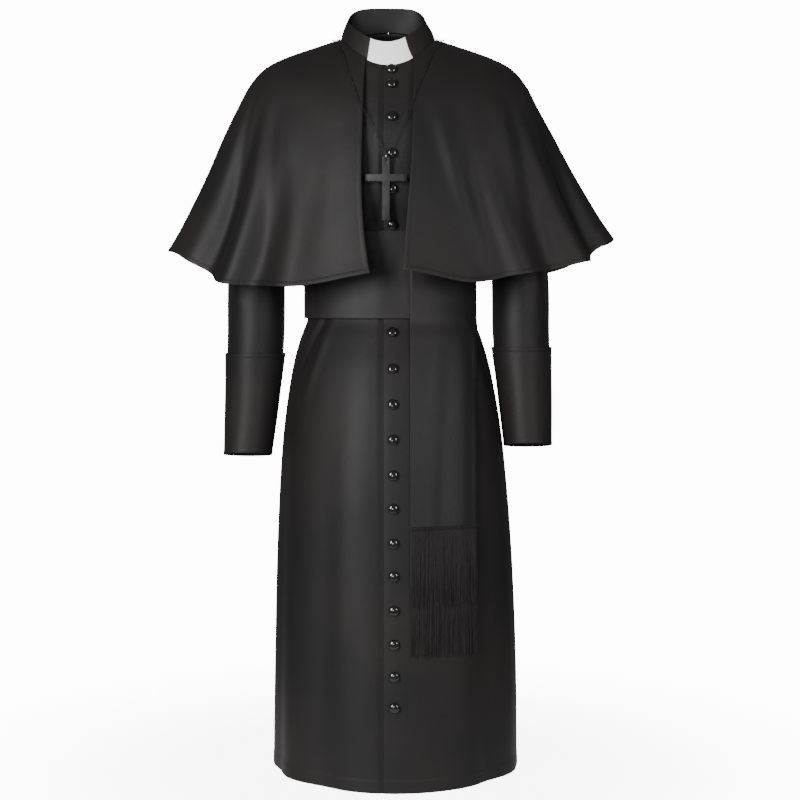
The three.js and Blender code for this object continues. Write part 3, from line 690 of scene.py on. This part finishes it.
def makeSleeve(side, name, material):
    plan = armSettings
    rows, spreads = armholeRows()
    seamAt = 180 if side < 0 else 360
    holeRow = np.concatenate([rows, rows[-2:0:-1], rows[:1]])
    holeAngle = seamAt - side * np.concatenate([spreads, -spreads[-2:0:-1], spreads[:1]])
    start = robePoint(holeAngle, holeRow) + np.array([side * (seam + plan["headGap"]), 0, 0])
    turns, order = armRing(side)
    end = ringAt(side, turns, 0)
    outShare, downShare = plan["headBend"]
    bend = np.stack([
        end[:, 0] + (start[:, 0] - end[:, 0]) * outShare,
        (start[:, 1] + end[:, 1]) / 2,
        start[:, 2] + (end[:, 2] - start[:, 2]) * downShare,
    ], axis=-1)
    head = []
    for t in np.linspace(0, 1, plan["headRows"], endpoint=False):
        head.append((1 - t) ** 2 * start + 2 * t * (1 - t) * bend + t * t * end)
    last = len(plan["rings"]) - 1 - plan["mouthShort"]
    arm = [ringAt(side, turns, row) for row in np.linspace(0, last, plan["armRows"])]
    points = np.array(head + arm)[::-1, order]
    label = "sleeve" + name.capitalize()
    piece = addCloth(label, points, material, "sleeve_" + name, ring=True)


def cuffLift(row):
    plan = armSettings
    ease = smoothstep(row, plan["cuffTop"], plan["cuffTop"] + plan["cuffEase"])
    return lap + wall + plan["cuffProud"] * (1 - ease)


def makeCuff(side, name, material):
    plan = armSettings
    turns, order = armRing(side)
    last = len(plan["rings"]) - 1
    top = plan["cuffTop"]
    tall = plan["rowTall"] * (last - top)
    edges = plan["cuffRows"]
    inner, count = plan["cuffMiddle"]
    heights = edges + list(np.linspace(inner, tall - inner, count)) + [tall - edge for edge in edges[::-1]]
    rings = []
    for height in heights:
        row = top + height / plan["rowTall"]
        fold = turned(min(height, tall - height), plan["cuffLine"], 0.5, 0.5)
        rings.append(ringAt(side, turns, row, cuffLift(row) + fold))
    label = "cuff" + name.capitalize()
    piece = addCloth(label, np.array(rings)[::-1, order], material, "cuff_" + name, ring=True)
    around = np.linspace(0, 360, 120)
    lines = []
    inset = plan["cuffLine"] / plan["rowTall"]
    for row in (top + inset, last - inset):
        line = ringAt(side, around, row, cuffLift(row))
        lines.append((line, ringAt(side, around, row, cuffLift(row) + 1) - line))
    stitches(label + "Stitches", lines, threadBlack)


# Collar and its white tab
collarSettings = {
    # square is the power of the ellipse of the back half: 2 is round, more is squarer
    "levels": levelTable(frontKeys + ("square",), [
        (5.8, -45.3, 35, 87, 77.8, 77.8, -7, 2, -45, 38, 2),
        (23, -24, 57, 82, 75, 74, -8, 2, -42, 30, 2.8),
        (41, -2.5, 79, 73, 70, 69, -10, 2, -39, 24, 4.4),
    ]),
    "folds": [],
    "creases": [(240, 243, 60, -50, 10, 0.7), (312, 309, 60, -50, 10, -0.6), (120, 118, 90, 0, 14, 0.6)],
    "rows": [0, 0.04, 0.1, 0.25, 0.5, 0.75, 1, 1.25, 1.5, 1.7, 1.82, 1.9, 1.96, 2],
    "edgeColumns": [0, 0.8, 1.8, 3.4],  # degrees from an end of the collar
    "columns": 84,
    "wall": 2.4,
    "tabColumns": 30,
    "tabOverlap": 9,
    "tabWall": 0.9,
}


def makeCollar(material, white):
    plan = collarSettings
    rows = np.array(plan["rows"])
    left, right = (frontAngle(plan, columnAt(plan["levels"], key, rows), rows) for key in ("left", "right"))
    near = plan["edgeColumns"]
    angles = [right - 360 + step for step in near]
    angles += spread(angles[-1], left - near[-1], plan["columns"])[1:]
    angles += [left - step for step in near[-2::-1]]
    angles = np.stack(angles, axis=1)
    points = bodyPoint(plan, angles, rowsLike(angles, rows))
    collar = addCloth("collarBand", points, material, "collar", plan["wall"])
    tucked = plan["tabOverlap"] / plan["levels"][0]["half"] / degree
    angles = np.stack(spread(left - tucked, right + tucked, plan["tabColumns"]), axis=1)
    outer = np.full(angles.shape, -plan["wall"] - lap)
    points = bodyPoint(plan, angles, rowsLike(angles, rows), outer)
    addCloth("collarTab", points, white, "collar_tab", plan["tabWall"])


# Cape
capeSettings = {
    "levels": levelTable(frontKeys, [
        (-364, -428, -446, 395, 184, 212, -1, 0, -38, 19),
        (-322, -398, -398, 370, 177, 200, -2, 0, -43, 21),
        (-240, -335, -310, 328, 165, 180, -4, 0, -50, 25),
        (-165, -270, -225, 295, 154, 162, -6, 0, -53, 30),
        (-113, -215, -155, 271, 143, 149, -7, 0, -53, 34),
        (-76, -170, -100, 253, 132, 139, -7, 1, -52, 36),
        (-44, -128, -45, 226, 120, 127, -7, 2, -51, 37),
        (-23, -97, -5, 186, 107, 114, -7, 2, -50, 38),
        (-5, -68, 24, 134, 93, 98, -7, 2, -49, 39),
        (10, -43, 39, 88, 79.2, 79.2, -7, 2, -47, 39),
    ]),
    "folds": [
        (180, 11, 14, 0, 5), (211, 6.5, -25, 0, 6), (222, 5.5, 14, 0, 4), (232, 5.5, -14, 0, 4),
        (242, 6, 9, 0, 4.5), (299, 6, -13, 0, 4.5), (307, 5, 8, 0, 4), (316, 6, -12, 0, 4.5),
        (329, 6, 13, 0, 5), (341, 6, -18, 0, 5), (360, 11, 12, 0, 5), (17, 7, -20, 0, 5),
        (33, 7, 14, 0, 4.5), (48, 7, -15, 0, 4.5), (63, 7, 13, 0, 4), (78, 7, -14, 0, 4.5),
        (101, 7, -13, 0, 4), (116, 7, 13, 0, 4.5), (131, 7, -16, 0, 4.5), (146, 7, 14, 0, 4.5),
        (162, 7, -20, 0, 5),
    ],
    # how far the hem lies below the table's level, or above it, around the sides
    "drops": [
        (180, 14, -9, 0, 4), (221, 23, -42, 0, 4), (246, 10, -10, 0, 4), (272, 13, 16, 0, 4),
        (292, 11, -15, 0, 4), (318, 15, -17, 0, 4), (337, 8, -14, 0, 4), (356, 9, 12, 0, 4),
        (40, 14, -14, 0, 4), (74, 15, 8, 0, 4), (104, 13, -12, 0, 4), (144, 15, -16, 0, 4),
    ],
    "creases": [
        (200, 212, -60, -390, 10, -4.5), (212, 223, -80, -410, 15, 4.5), (219, 233, -110, -425, 13, -4.5),
        (230, 243, -120, -430, 18, 3.5), (250, 250, -150, -430, 18, -2.4), (286, 294, -100, -430, 12, -4.0),
        (292, 298, -130, -430, 10, 4.0), (301, 302, -120, -430, 10, -3.5), (320, 311, -90, -420, 14, 4.5),
        (328, 318, -100, -420, 12, -4.0), (342, 330, -80, -400, 12, 4.5), (352, 342, -80, -390, 10, -3.0),
        (20, 25, -60, -360, 12, 4.0), (33, 40, -80, -400, 12, -3.6), (66, 71, -90, -420, 14, 3.8),
        (82, 80, -70, -410, 13, -3.6), (112, 107, -90, -420, 13, -4.0), (124, 120, -80, -400, 12, 3.6),
        (158, 150, -60, -400, 13, 4.0), (170, 166, -70, -380, 11, -3.6), (187, 186, -60, -340, 11, 2.6),
    ],
    "hemRows": [0, 0.03, 0.07, 0.12, 0.17, 0.22, 0.27, 0.34, 0.45],
    "bodyStart": 0.62,
    "bodyRows": 42,
    "hemPoints": 300,
    "frontPoints": 160,
    "edges": [0, 2, 4.5, 7, 8.5, 10, 13, 18],  # millimetres from a front edge
    "columns": 88,
    "line": 8.5,  # the stitching, from the hem and the front edges
}


# A front edge of the cape. The table's left column is the edge of the wearer's right half
def capeEdge(way, row):
    key = "left" if way < 0 else "right"
    return frontAngle(capeSettings, columnAt(capeSettings["levels"], key, row), row)


def makeCape(material):
    plan = capeSettings
    levels = plan["levels"]
    last = len(levels) - 1
    rows = np.array(plan["hemRows"] + list(np.linspace(plan["bodyStart"], last, plan["bodyRows"])))
    half = columnAt(levels, "half", rows)
    gap = seamAngle(plan, rows)
    line = plan["line"]
    for name, way in (("right", -1), ("left", 1)):
        edge = capeEdge(way, rows)
        near = [edge + way * distance / half / degree for distance in plan["edges"]]
        seamAt = 90 + gap if way < 0 else 450 - gap
        angles = near + spread(near[-1], seamAt, plan["columns"])[1:]
        angles = np.stack(angles if way > 0 else angles[::-1], axis=1)
        rowGrid = rowsLike(angles, rows)
        bare = clothPoint(plan, angles, rowGrid)
        fromHem = bare[..., 2] - bare[:1, :, 2]
        fromEdge = np.abs(angles - edge[:, None]) * degree * half[:, None]
        points = bodyPoint(plan, angles, rowGrid, turned(np.minimum(fromHem, fromEdge), line))
        label = "cape" + name.capitalize()
        piece = addCloth(label, points, material, "cape_" + name)
        hemAngle = np.linspace(edge[0] + way * line / half[0] / degree, seamAt[0], plan["hemPoints"])
        foot, above = (clothPoint(plan, hemAngle, np.full(plan["hemPoints"], level)) for level in (0, 1))
        hemRow = line / (above - foot)[:, 2]
        upRow = np.linspace(hemRow[0], last, plan["frontPoints"])
        upAngle = capeEdge(way, upRow) + way * line / columnAt(levels, "half", upRow) / degree
        lines = []
        for angle, row in ((hemAngle, hemRow), (upAngle, upRow)):
            lines.append((bodyPoint(plan, angle, row, -0.1), outwards(plan, angle, row)))
        stitches(label + "Stitches", lines, threadBlack)


# Sash, its two tails and their fringes
sashSettings = {
    "levels": levelTable(ringKeys, [
        (-497, -497, -497, 160, 113, 110, -3, 0),
        (-341, -341, -341, 160, 113, 110, -3, 0),
    ]),
    "folds": [],
    "creases": [
        (206, 212, -330, -505, 9, -0.9), (226, 224, -330, -505, 26, 0.9), (262, 263, -330, -505, 13, 1.3),
        (275, 275, -330, -505, 10, -0.9), (292, 291, -330, -505, 22, 0.7), (330, 326, -330, -505, 12, -0.8),
        (60, 62, -330, -505, 16, 1.0), (98, 95, -330, -505, 16, -0.9), (140, 142, -330, -505, 14, 1.0),
    ],
    "rows": [0, 0.015, 0.03, 0.045, 0.07, 0.12, 0.2, 0.3, 0.4, 0.5,
             0.6, 0.7, 0.8, 0.88, 0.93, 0.955, 0.97, 0.985, 1],
    "columns": {"front": 60, "back": 80},
    "backFold": 0.4,  # share of the turned edge that the panel underneath shows
    "line": 5,
    "ends": {"right": 18, "left": 12, "under": 8},
}
tailSettings = {
    "top": -372,
    "front": {"left": 33, "right": 145, "end": -858, "threads": 140, "lift": 4.7},
    "rear": {"left": 31, "right": 150, "end": -958, "threads": 128, "lift": 2.4},
    # place across from 0 to 1, its drift, top, bottom, width across, height
    "creases": [
        (0.26, 0.05, -400, -860, 0.12, 1.5), (0.5, -0.06, -520, -870, 0.10, -1.5),
        (0.74, 0.04, -380, -860, 0.13, 1.5), (0.9, -0.03, -540, -860, 0.07, -0.9),
        (0.08, 0.0, -560, -860, 0.06, -0.6),
    ],
    "creaseEnd": 0.75,  # how far along its wave a crease has come at the foot
    "bridge": (5, 90),  # stands off the skirt by, and over this height below the sash
    "blend": (-30, 40),  # from the sash's face to the skirt's, below the sash's edge
    "footRows": [0, 2, 4, 7],  # millimetres up from the foot
    "bodyStart": 14,
    "edge": 5,
    "rows": 52,
}


def makeSash(material):
    plan = sashSettings
    rows = np.array(plan["rows"])
    tall = plan["levels"][1]["z"] - plan["levels"][0]["z"]
    right, left, under = 180 + plan["ends"]["right"], plan["ends"]["left"], plan["ends"]["under"]
    fold = turned(np.minimum(rows, 1 - rows) * tall, plan["line"], 0.35, 0.45)[:, None]
    for name, first, last, lift, share in (
        ("front", right, 360 - left, 0, 1),
        ("back", -left - under, right + under, -(wall + lap), plan["backFold"]),
    ):
        count = plan["columns"][name]
        shape = (len(rows), count)
        angles = np.broadcast_to(np.linspace(first, last, count)[None, :], shape)
        lifts = np.broadcast_to(lift + fold * share, shape)
        points = bodyPoint(plan, angles, rowsLike(angles, rows), lifts)
        addCloth("sash" + name.capitalize(), points, material, "sash_" + name)


# The skirt's rows by height
skirtRows = np.linspace(0, 9, 900)
skirtHeights = columnAt(robeSettings["levels"], "z", skirtRows)


# A point of a tail: across it from 0 to 1, at a height, lifted off the cloth below
def tailPoint(tail, across, z, lift):
    plan = tailSettings
    across, z, lift = np.broadcast_arrays(*(np.asarray(value, float) for value in (across, z, lift)))
    bottom, top = (level["z"] for level in sashSettings["levels"])
    for at, drift, high, low, width, height in plan["creases"]:
        t = np.clip((high - z) / (high - low), 0, 1)
        away = (across - at - drift * t) / width
        lift = lift + height * np.sin(math.pi * t * plan["creaseEnd"]) * np.exp(-(away ** 2))
    sashRow = (z - bottom) / (top - bottom)
    skirtRow = np.interp(z, skirtHeights, skirtRows)
    off, tall = plan["bridge"]
    bridge = off * (1 - smoothstep(bottom - z, 0, tall))
    faces = []
    for form, row, stand in ((sashSettings, sashRow, lift), (robeSettings, skirtRow, lift + bridge)):
        left, right = (frontAngle(form, tail[key], row) for key in ("left", "right"))
        faces.append(bodyPoint(form, left + (right - left) * across, row, stand))
    share = smoothstep(bottom - z, *plan["blend"])[..., None]
    return faces[0] * (1 - share) + faces[1] * share


def makeTails(material):
    plan = tailSettings
    edge = plan["edge"]
    for name in ("front", "rear"):
        tail = plan[name]
        wide = tail["right"] - tail["left"]
        side = [0, 0.015, 0.03, edge / wide, 0.065]
        across = np.array(side + list(np.linspace(0.1, 0.9, 17)) + [1 - share for share in side[::-1]])
        body = np.linspace(tail["end"] + plan["bodyStart"], plan["top"], plan["rows"])
        heights = np.concatenate([tail["end"] + np.array(plan["footRows"]), body])
        fold = turned(np.minimum(across, 1 - across) * wide, edge, 0.3, 0.4)[None, :]
        points = tailPoint(tail, across[None, :], heights[:, None], tail["lift"] + fold)
        label = "sashTail" + name.capitalize()
        piece = addCloth(label, points, material, "sash_tail_" + name)


fringeSettings = {
    "count": 118, "radius": 0.42, "uneven": 14, "bends": 12,
    # the heading: loops to each thread, their drops and lifts, and the drops of the lines that bind them
    "loopShare": 0.7, "loopWide": 0.006, "loopDrops": [0.6, 3, 5.8], "loopLifts": [0.1, 0.9, 0.1],
    "binding": (0.5, 5.5),
}


def makeFringes(material):
    plan = fringeSettings
    draw = np.random.default_rng(7)
    for name in ("front", "rear"):
        tail = tailSettings[name]
        top = tail["end"] - seam
        count = plan["count"]
        runs = []
        for k in range(count):
            clump = math.sin(k * 0.9) * 0.5 + math.sin(k * 0.37) * 0.5
            length = tail["threads"] - plan["uneven"] * (0.5 + 0.5 * clump) * draw.uniform(0.4, 1)
            start = (k + draw.uniform(0.25, 0.75)) / count
            lean = 0.016 * clump + draw.normal(0, 0.006)
            sway, phase = draw.uniform(0.15, 0.6), draw.uniform(0, 6.3)
            depth = draw.uniform(-1.0, 1.0)
            down = np.linspace(0, 1, plan["bends"] + 1)
            across = np.clip(start + lean * down ** 1.6, 0.004, 0.996)
            run = tailPoint(tail, across, top - 2 - (length - 2) * down, tail["lift"] - 0.5 + depth * down)
            run[:, 0] += sway * np.sin(phase + down * 7) * down
            runs.append(run)
        loops = count * plan["loopShare"]
        for k in range(int(loops)):
            at = (k + 0.5) / loops
            across = np.array([at - plan["loopWide"], at, at + plan["loopWide"]])
            lifts = tail["lift"] + np.array(plan["loopLifts"])
            runs.append(tailPoint(tail, across, top - np.array(plan["loopDrops"]), lifts))
        for drop in plan["binding"]:
            at = np.linspace(0.003, 0.997, 40)
            runs.append(tailPoint(tail, at, top - drop, tail["lift"] + 0.1))
        label = "fringe" + name.capitalize()
        mesh = threadMesh(label, runs, plan["radius"])
        addPiece(label, mesh, material, ["fringe_" + name])


# Buttons: a polished dome turned round its axis, on a short shank
buttonSettings = {
    # radius and height above the cloth
    "profile": [
        (0, 0.3), (3.6, 0.3), (3.8, 1.6), (6.6, 1.9), (8.3, 2.6), (9.1, 3.6), (9.2, 4.5),
        (8.8, 5.6), (7.8, 6.7), (6.2, 7.7), (4.2, 8.3), (2.1, 8.6), (0, 8.7),
    ],
    "slices": 32,
}


# Sweeps a section once round Z and closes it
def spinRound(bm, geom, slices):
    whole = 2 * math.pi
    axis = {"cent": (0, 0, 0), "axis": (0, 0, 1)}
    bmesh.ops.spin(bm, geom=geom, angle=whole, steps=slices, use_merge=True, **axis)
    bmesh.ops.remove_doubles(bm, verts=bm.verts[:], dist=0.000001)
    bmesh.ops.recalc_face_normals(bm, faces=bm.faces[:])


def turnedMesh(name, profile, slices):
    bm = bmesh.new()
    verts = [bm.verts.new((across * mm, 0, up * mm)) for across, up in profile]
    edges = [bm.edges.new(pair) for pair in zip(verts, verts[1:])]
    spinRound(bm, verts + edges, slices)
    return meshFrom(name, bm)


def makeButtons(front, material):
    bm = bmesh.new()
    bm.from_mesh(front.data)
    cloth = BVHTree.FromBMesh(bm)
    template = turnedMesh("buttonTurned", buttonSettings["profile"], buttonSettings["slices"])
    for node in sorted(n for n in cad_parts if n.startswith("button_")):
        low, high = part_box(node)
        x, z = (low.x + high.x) / 2, (low.z + high.z) / 2
        spot, out, _, _ = cloth.ray_cast(Vector((x, -1, z)), Vector((0, 1, 0)))
        if out.y > 0:
            out = -out
        place = Matrix.Translation(spot) @ out.to_track_quat("Z", "Y").to_matrix().to_4x4()
        mesh = template.copy()
        mesh.transform(place)
        addPiece("domeButton" + node[-2:], mesh, material, [node])
    bm.free()
    bpy.data.meshes.remove(template)


# Cross, its ring, and the chain with its clasp
crossSettings = {
    "x": -10.5, "y": -133.5, "hole": -219, "height": 111, "span": 73, "bar": 13, "armDrop": 36.7,
    "wall": 3, "eyeDrop": 5.5, "eyeRadius": 2.5, "eyeSides": 28, "bevel": 0.55,
}
ringSettings = {"radius": 5, "wire": 0.8, "slices": 40, "sides": 12}


# A quarter turn about an axis, then a move to a place in millimetres
def placed(place, axis):
    return Matrix.Translation(Vector(place) * mm) @ Matrix.Rotation(90 * degree, 4, axis)


def makeCross(material):
    plan = crossSettings
    top = plan["hole"] + plan["eyeDrop"]
    bar, span = plan["bar"] / 2, plan["span"] / 2
    armTop = top - plan["armDrop"] + bar
    armLow, foot = armTop - plan["bar"], top - plan["height"]
    outline = [
        (bar, top), (-bar, top), (-bar, armTop), (-span, armTop), (-span, armLow), (-bar, armLow),
        (-bar, foot), (bar, foot), (bar, armLow), (span, armLow), (span, armTop), (bar, armTop),
    ]
    bm = bmesh.new()
    face = plan["y"] - plan["wall"] / 2
    corners = [bm.verts.new(((plan["x"] + x) * mm, face * mm, z * mm)) for x, z in outline]
    for first, second in zip(corners, corners[1:] + corners[:1]):
        bm.edges.new((first, second))
    eye = placed((plan["x"], face, plan["hole"]), "X")
    bmesh.ops.create_circle(
        bm, cap_ends=False, segments=plan["eyeSides"], radius=plan["eyeRadius"] * mm, matrix=eye
    )
    bmesh.ops.triangle_fill(bm, use_beauty=True, use_dissolve=False, edges=bm.edges[:])
    front = bm.faces[:]
    back = bmesh.ops.extrude_face_region(bm, geom=front, use_keep_orig=True)["geom"]
    moved = [part for part in back if isinstance(part, bmesh.types.BMVert)]
    bmesh.ops.translate(bm, verts=moved, vec=(0, plan["wall"] * mm, 0))
    bmesh.ops.recalc_face_normals(bm, faces=bm.faces[:])
    sharp = [e for e in bm.edges if e.is_manifold and e.calc_face_angle() > 60 * degree]
    bmesh.ops.bevel(
        bm, geom=sharp, offset=plan["bevel"] * mm, offset_type="OFFSET", segments=2, profile=0.5,
        affect="EDGES", material=-1,
    )
    piece = addPiece("neckCross", meshFrom("neckCross", bm), material, ["cross"], "cross")
    piece.data.set_sharp_from_angle(angle=40 * degree)


def hoopMesh(name, radius, wire, slices, sides, stretch=0.0):
    bm = bmesh.new()
    start = Matrix.Translation((radius * mm, 0, 0)) @ Matrix.Rotation(90 * degree, 4, "X")
    bmesh.ops.create_circle(bm, cap_ends=False, segments=sides, radius=wire * mm, matrix=start)
    spinRound(bm, bm.verts[:] + bm.edges[:], slices)
    for vert in bm.verts:
        vert.co.x += math.copysign(stretch * mm, vert.co.x) if abs(vert.co.x) > 1e-7 else 0
    return meshFrom(name, bm)


def makeRing(material):
    plan = ringSettings
    mesh = hoopMesh("jumpHoop", plan["radius"], plan["wire"], plan["slices"], plan["sides"])
    height = crossSettings["hole"] + crossSettings["eyeRadius"] + plan["radius"] - plan["wire"] - 0.5
    mesh.transform(placed((crossSettings["x"], crossSettings["y"], height), "Y"))
    addPiece("jumpRing", mesh, material, ["jump_ring"], "ring")


# Half of the clasp: radius and distance along it from one end to the middle
claspHalf = [(0, -4.5), (1.0, -4.5), (1.5, -3.9), (1.6, -3.2), (2.1, -2.8), (2.1, -0.35), (1.8, 0)]

# From the clasp at the nape round the wearer's right side, through the ring, and back up on the left
chainSettings = {
    "right": [
        (-11.8, 89.8, 43.1), (-42, 84.2, 39), (-73, 68.5, 29.3), (-95.5, 45.1, 18.3), (-107.6, 16.9, 10.6),
        (-107.5, -13.2, 7.6), (-102, -34, -1.2), (-87.4, -60.8, -24.2), (-80.4, -79.4, -50.8),
        (-68.6, -98.6, -83.4), (-60.8, -109.4, -105.1), (-50.8, -119.4, -128.2), (-37, -124, -156),
        (-21, -130.5, -190.5), (-16, -133.2, -203.4),
    ],
    "bow": [
        (-14.1, -133.5, -207.4), (-12.6, -133.5, -209.1), (-10.5, -133.5, -209.7), (-8.4, -133.5, -209.1),
        (-6.9, -133.5, -207.4),
    ],
    "left": [
        (-5, -133.2, -203.4), (0.6, -132, -190), (11, -128, -166), (22.9, -122.4, -142), (31, -118.8, -129),
        (37, -115.2, -117.3), (44.6, -104.5, -95.1), (51.9, -94, -74), (60.7, -82.2, -54.3),
        (67.5, -69.2, -34.6),
        (74.8, -53.2, -15), (86.8, -33.6, 0.2), (93.6, -13.2, 7.6), (93.6, 17, 10.6), (81.6, 45.1, 18.3),
        (59, 68.5, 29.3), (28, 84.2, 39), (-2.2, 89.8, 43.1),
    ],
    "diameter": 2.0,
    "length": 0.89,
    "wire": 0.32,
    "link": 0.68,  # radius of a link's round ends
    "stretch": 0.45,
    "linkSlices": 10,
    "linkSides": 5,
    "claspPlace": (-7, 89.9, 43.2),
    "claspProfile": claspHalf + [(radius, -along) for radius, along in claspHalf[-2::-1]],
    "claspSlices": 24,
}


def makeChain(material):
    plan = chainSettings
    pitch = 2 * (plan["link"] + plan["stretch"] - plan["wire"])
    path = smoothPath(plan["right"] + plan["bow"] + plan["left"], pitch)
    template = hoopMesh(
        "chainLink", plan["link"], plan["wire"], plan["linkSlices"], plan["linkSides"], plan["stretch"]
    )
    places = []
    side = Vector((0, 0, 1))
    for k, spot in enumerate(path):
        along = Vector(path[min(k + 1, len(path) - 1)] - path[max(k - 1, 0)]).normalized()
        side = (side - along * side.dot(along)).normalized()
        lean = Matrix.Rotation((45 + 90 * (k % 2)) * degree, 3, along)
        broad = lean @ side
        turn = Matrix((along, broad, along.cross(broad))).transposed()
        places.append(Matrix.Translation(Vector(spot) * mm) @ turn.to_4x4())
    chain = copiesOf("neckChain", template, places)
    bpy.data.meshes.remove(template)
    nodes = ["neck_chain_right", "neck_chain_bow", "neck_chain_left"]
    piece = addPiece("neckChain", chain, material, nodes)
    clasp = turnedMesh("chainClasp", plan["claspProfile"], plan["claspSlices"])
    clasp.transform(placed(plan["claspPlace"], "Y"))
    claspPiece = addPiece("chainClasp", clasp, material, ["chain_clasp"])
    plan["diameter"] * mm


# Plain floor and soft studio light
lightSettings = {
    # name: place, aim, width and height in metres, watts
    "keyLeft": ((-1.6, -2.6, 0.1), (0, 0, -0.42), (0.8, 1.3), 108),
    "keyRight": ((1.9, -2.4, 0.1), (0, 0, -0.5), (0.6, 1.1), 38),
    "lowFront": ((-0.35, -3.0, -0.75), (0, 0, -0.5), (0.5, 0.5), 10),
    "behind": ((0.3, 3.3, 0.3), (0, 0, -0.5), (1.2, 1.2), 75),
}
# the floor fades out into the white backdrop between two distances in metres from the middle
studioSettings = {
    "floor": 1.3, "floorGap": 0.0006, "floorShare": 0.5, "fade": (0.35, 1.0),
    "worldLight": 0.13, "backdrop": 14.0,
}
floorLook = {
    "Base Color": (0.9, 0.9, 0.9, 1), "Roughness": 0.9, "Emission Color": (1, 1, 1, 1),
    "Emission Strength": 0.7,
}


def makeStudio():
    plan = studioSettings
    for name, (place, aim, (wide, tall), watts) in lightSettings.items():
        data = bpy.data.lights.new(name, "AREA")
        data.shape = "RECTANGLE"
        data.size = wide
        data.size_y = tall
        data.energy = watts
        aimAt(linked(name, data), Vector(place), Vector(aim))
    bm = bmesh.new()
    height = robeSettings["levels"][0]["zFront"] * mm
    bmesh.ops.create_grid(bm, x_segments=1, y_segments=1, size=plan["floor"])
    bmesh.ops.translate(bm, verts=bm.verts[:], vec=(0, 0, height - plan["floorGap"]))
    floor = linked("floor", meshFrom("floor", bm))
    paint = Paint("paleFloor", floorLook)
    flat = paint.place("Object", (1, 1, 0))
    spot = paint.node("ShaderNodeVectorMath", {"operation": "LENGTH"}, {0: flat}, "Value")
    paint.give(Alpha=plan["floorShare"] - paint.ramp(spot, *plan["fade"]) * plan["floorShare"])
    floor.data.materials.append(paint.material)
    # the world lights softly and shows white to the camera
    world = bpy.data.worlds.new("studio")
    bpy.context.scene.world = world
    world.use_nodes = True
    tree = world.node_tree
    shade = tree.nodes["Background"]
    shade.inputs["Color"].default_value = (1, 1, 1, 1)
    seen = Wire(tree, tree.nodes.new("ShaderNodeLightPath").outputs["Is Camera Ray"])
    strength = seen * (plan["backdrop"] - plan["worldLight"]) + plan["worldLight"]
    tree.links.new(strength.socket, shade.inputs["Strength"])


print("camera")
makeCamera()
print("materials")
robeTwill = makeTwill("robe")
# the sash's twill is the robe's cloth painted lighter: painted light
sashTwillPaintedLighter = makeTwill("sash")
threadBlack = makeThread()
print("chain, ring and cross")
makeChain(makeMetal("chain"))
makeRing(makeMetal("ring"))
makeCross(makeMetal("cross"))
print("robe")
robeFront = makeRobe(robeTwill)
print("sleeves and cuffs")
for side, name in ((-1, "right"), (1, "left")):
    makeSleeve(side, name, robeTwill)
    makeCuff(side, name, robeTwill)
print("collar")
makeCollar(robeTwill, makeTabWhite())
print("cape")
makeCape(robeTwill)
print("sash and fringes")
makeSash(sashTwillPaintedLighter)
makeTails(sashTwillPaintedLighter)
makeFringes(threadBlack)
print("buttons")
makeButtons(robeFront, makeButtonBlack())
print("studio")
makeStudio()
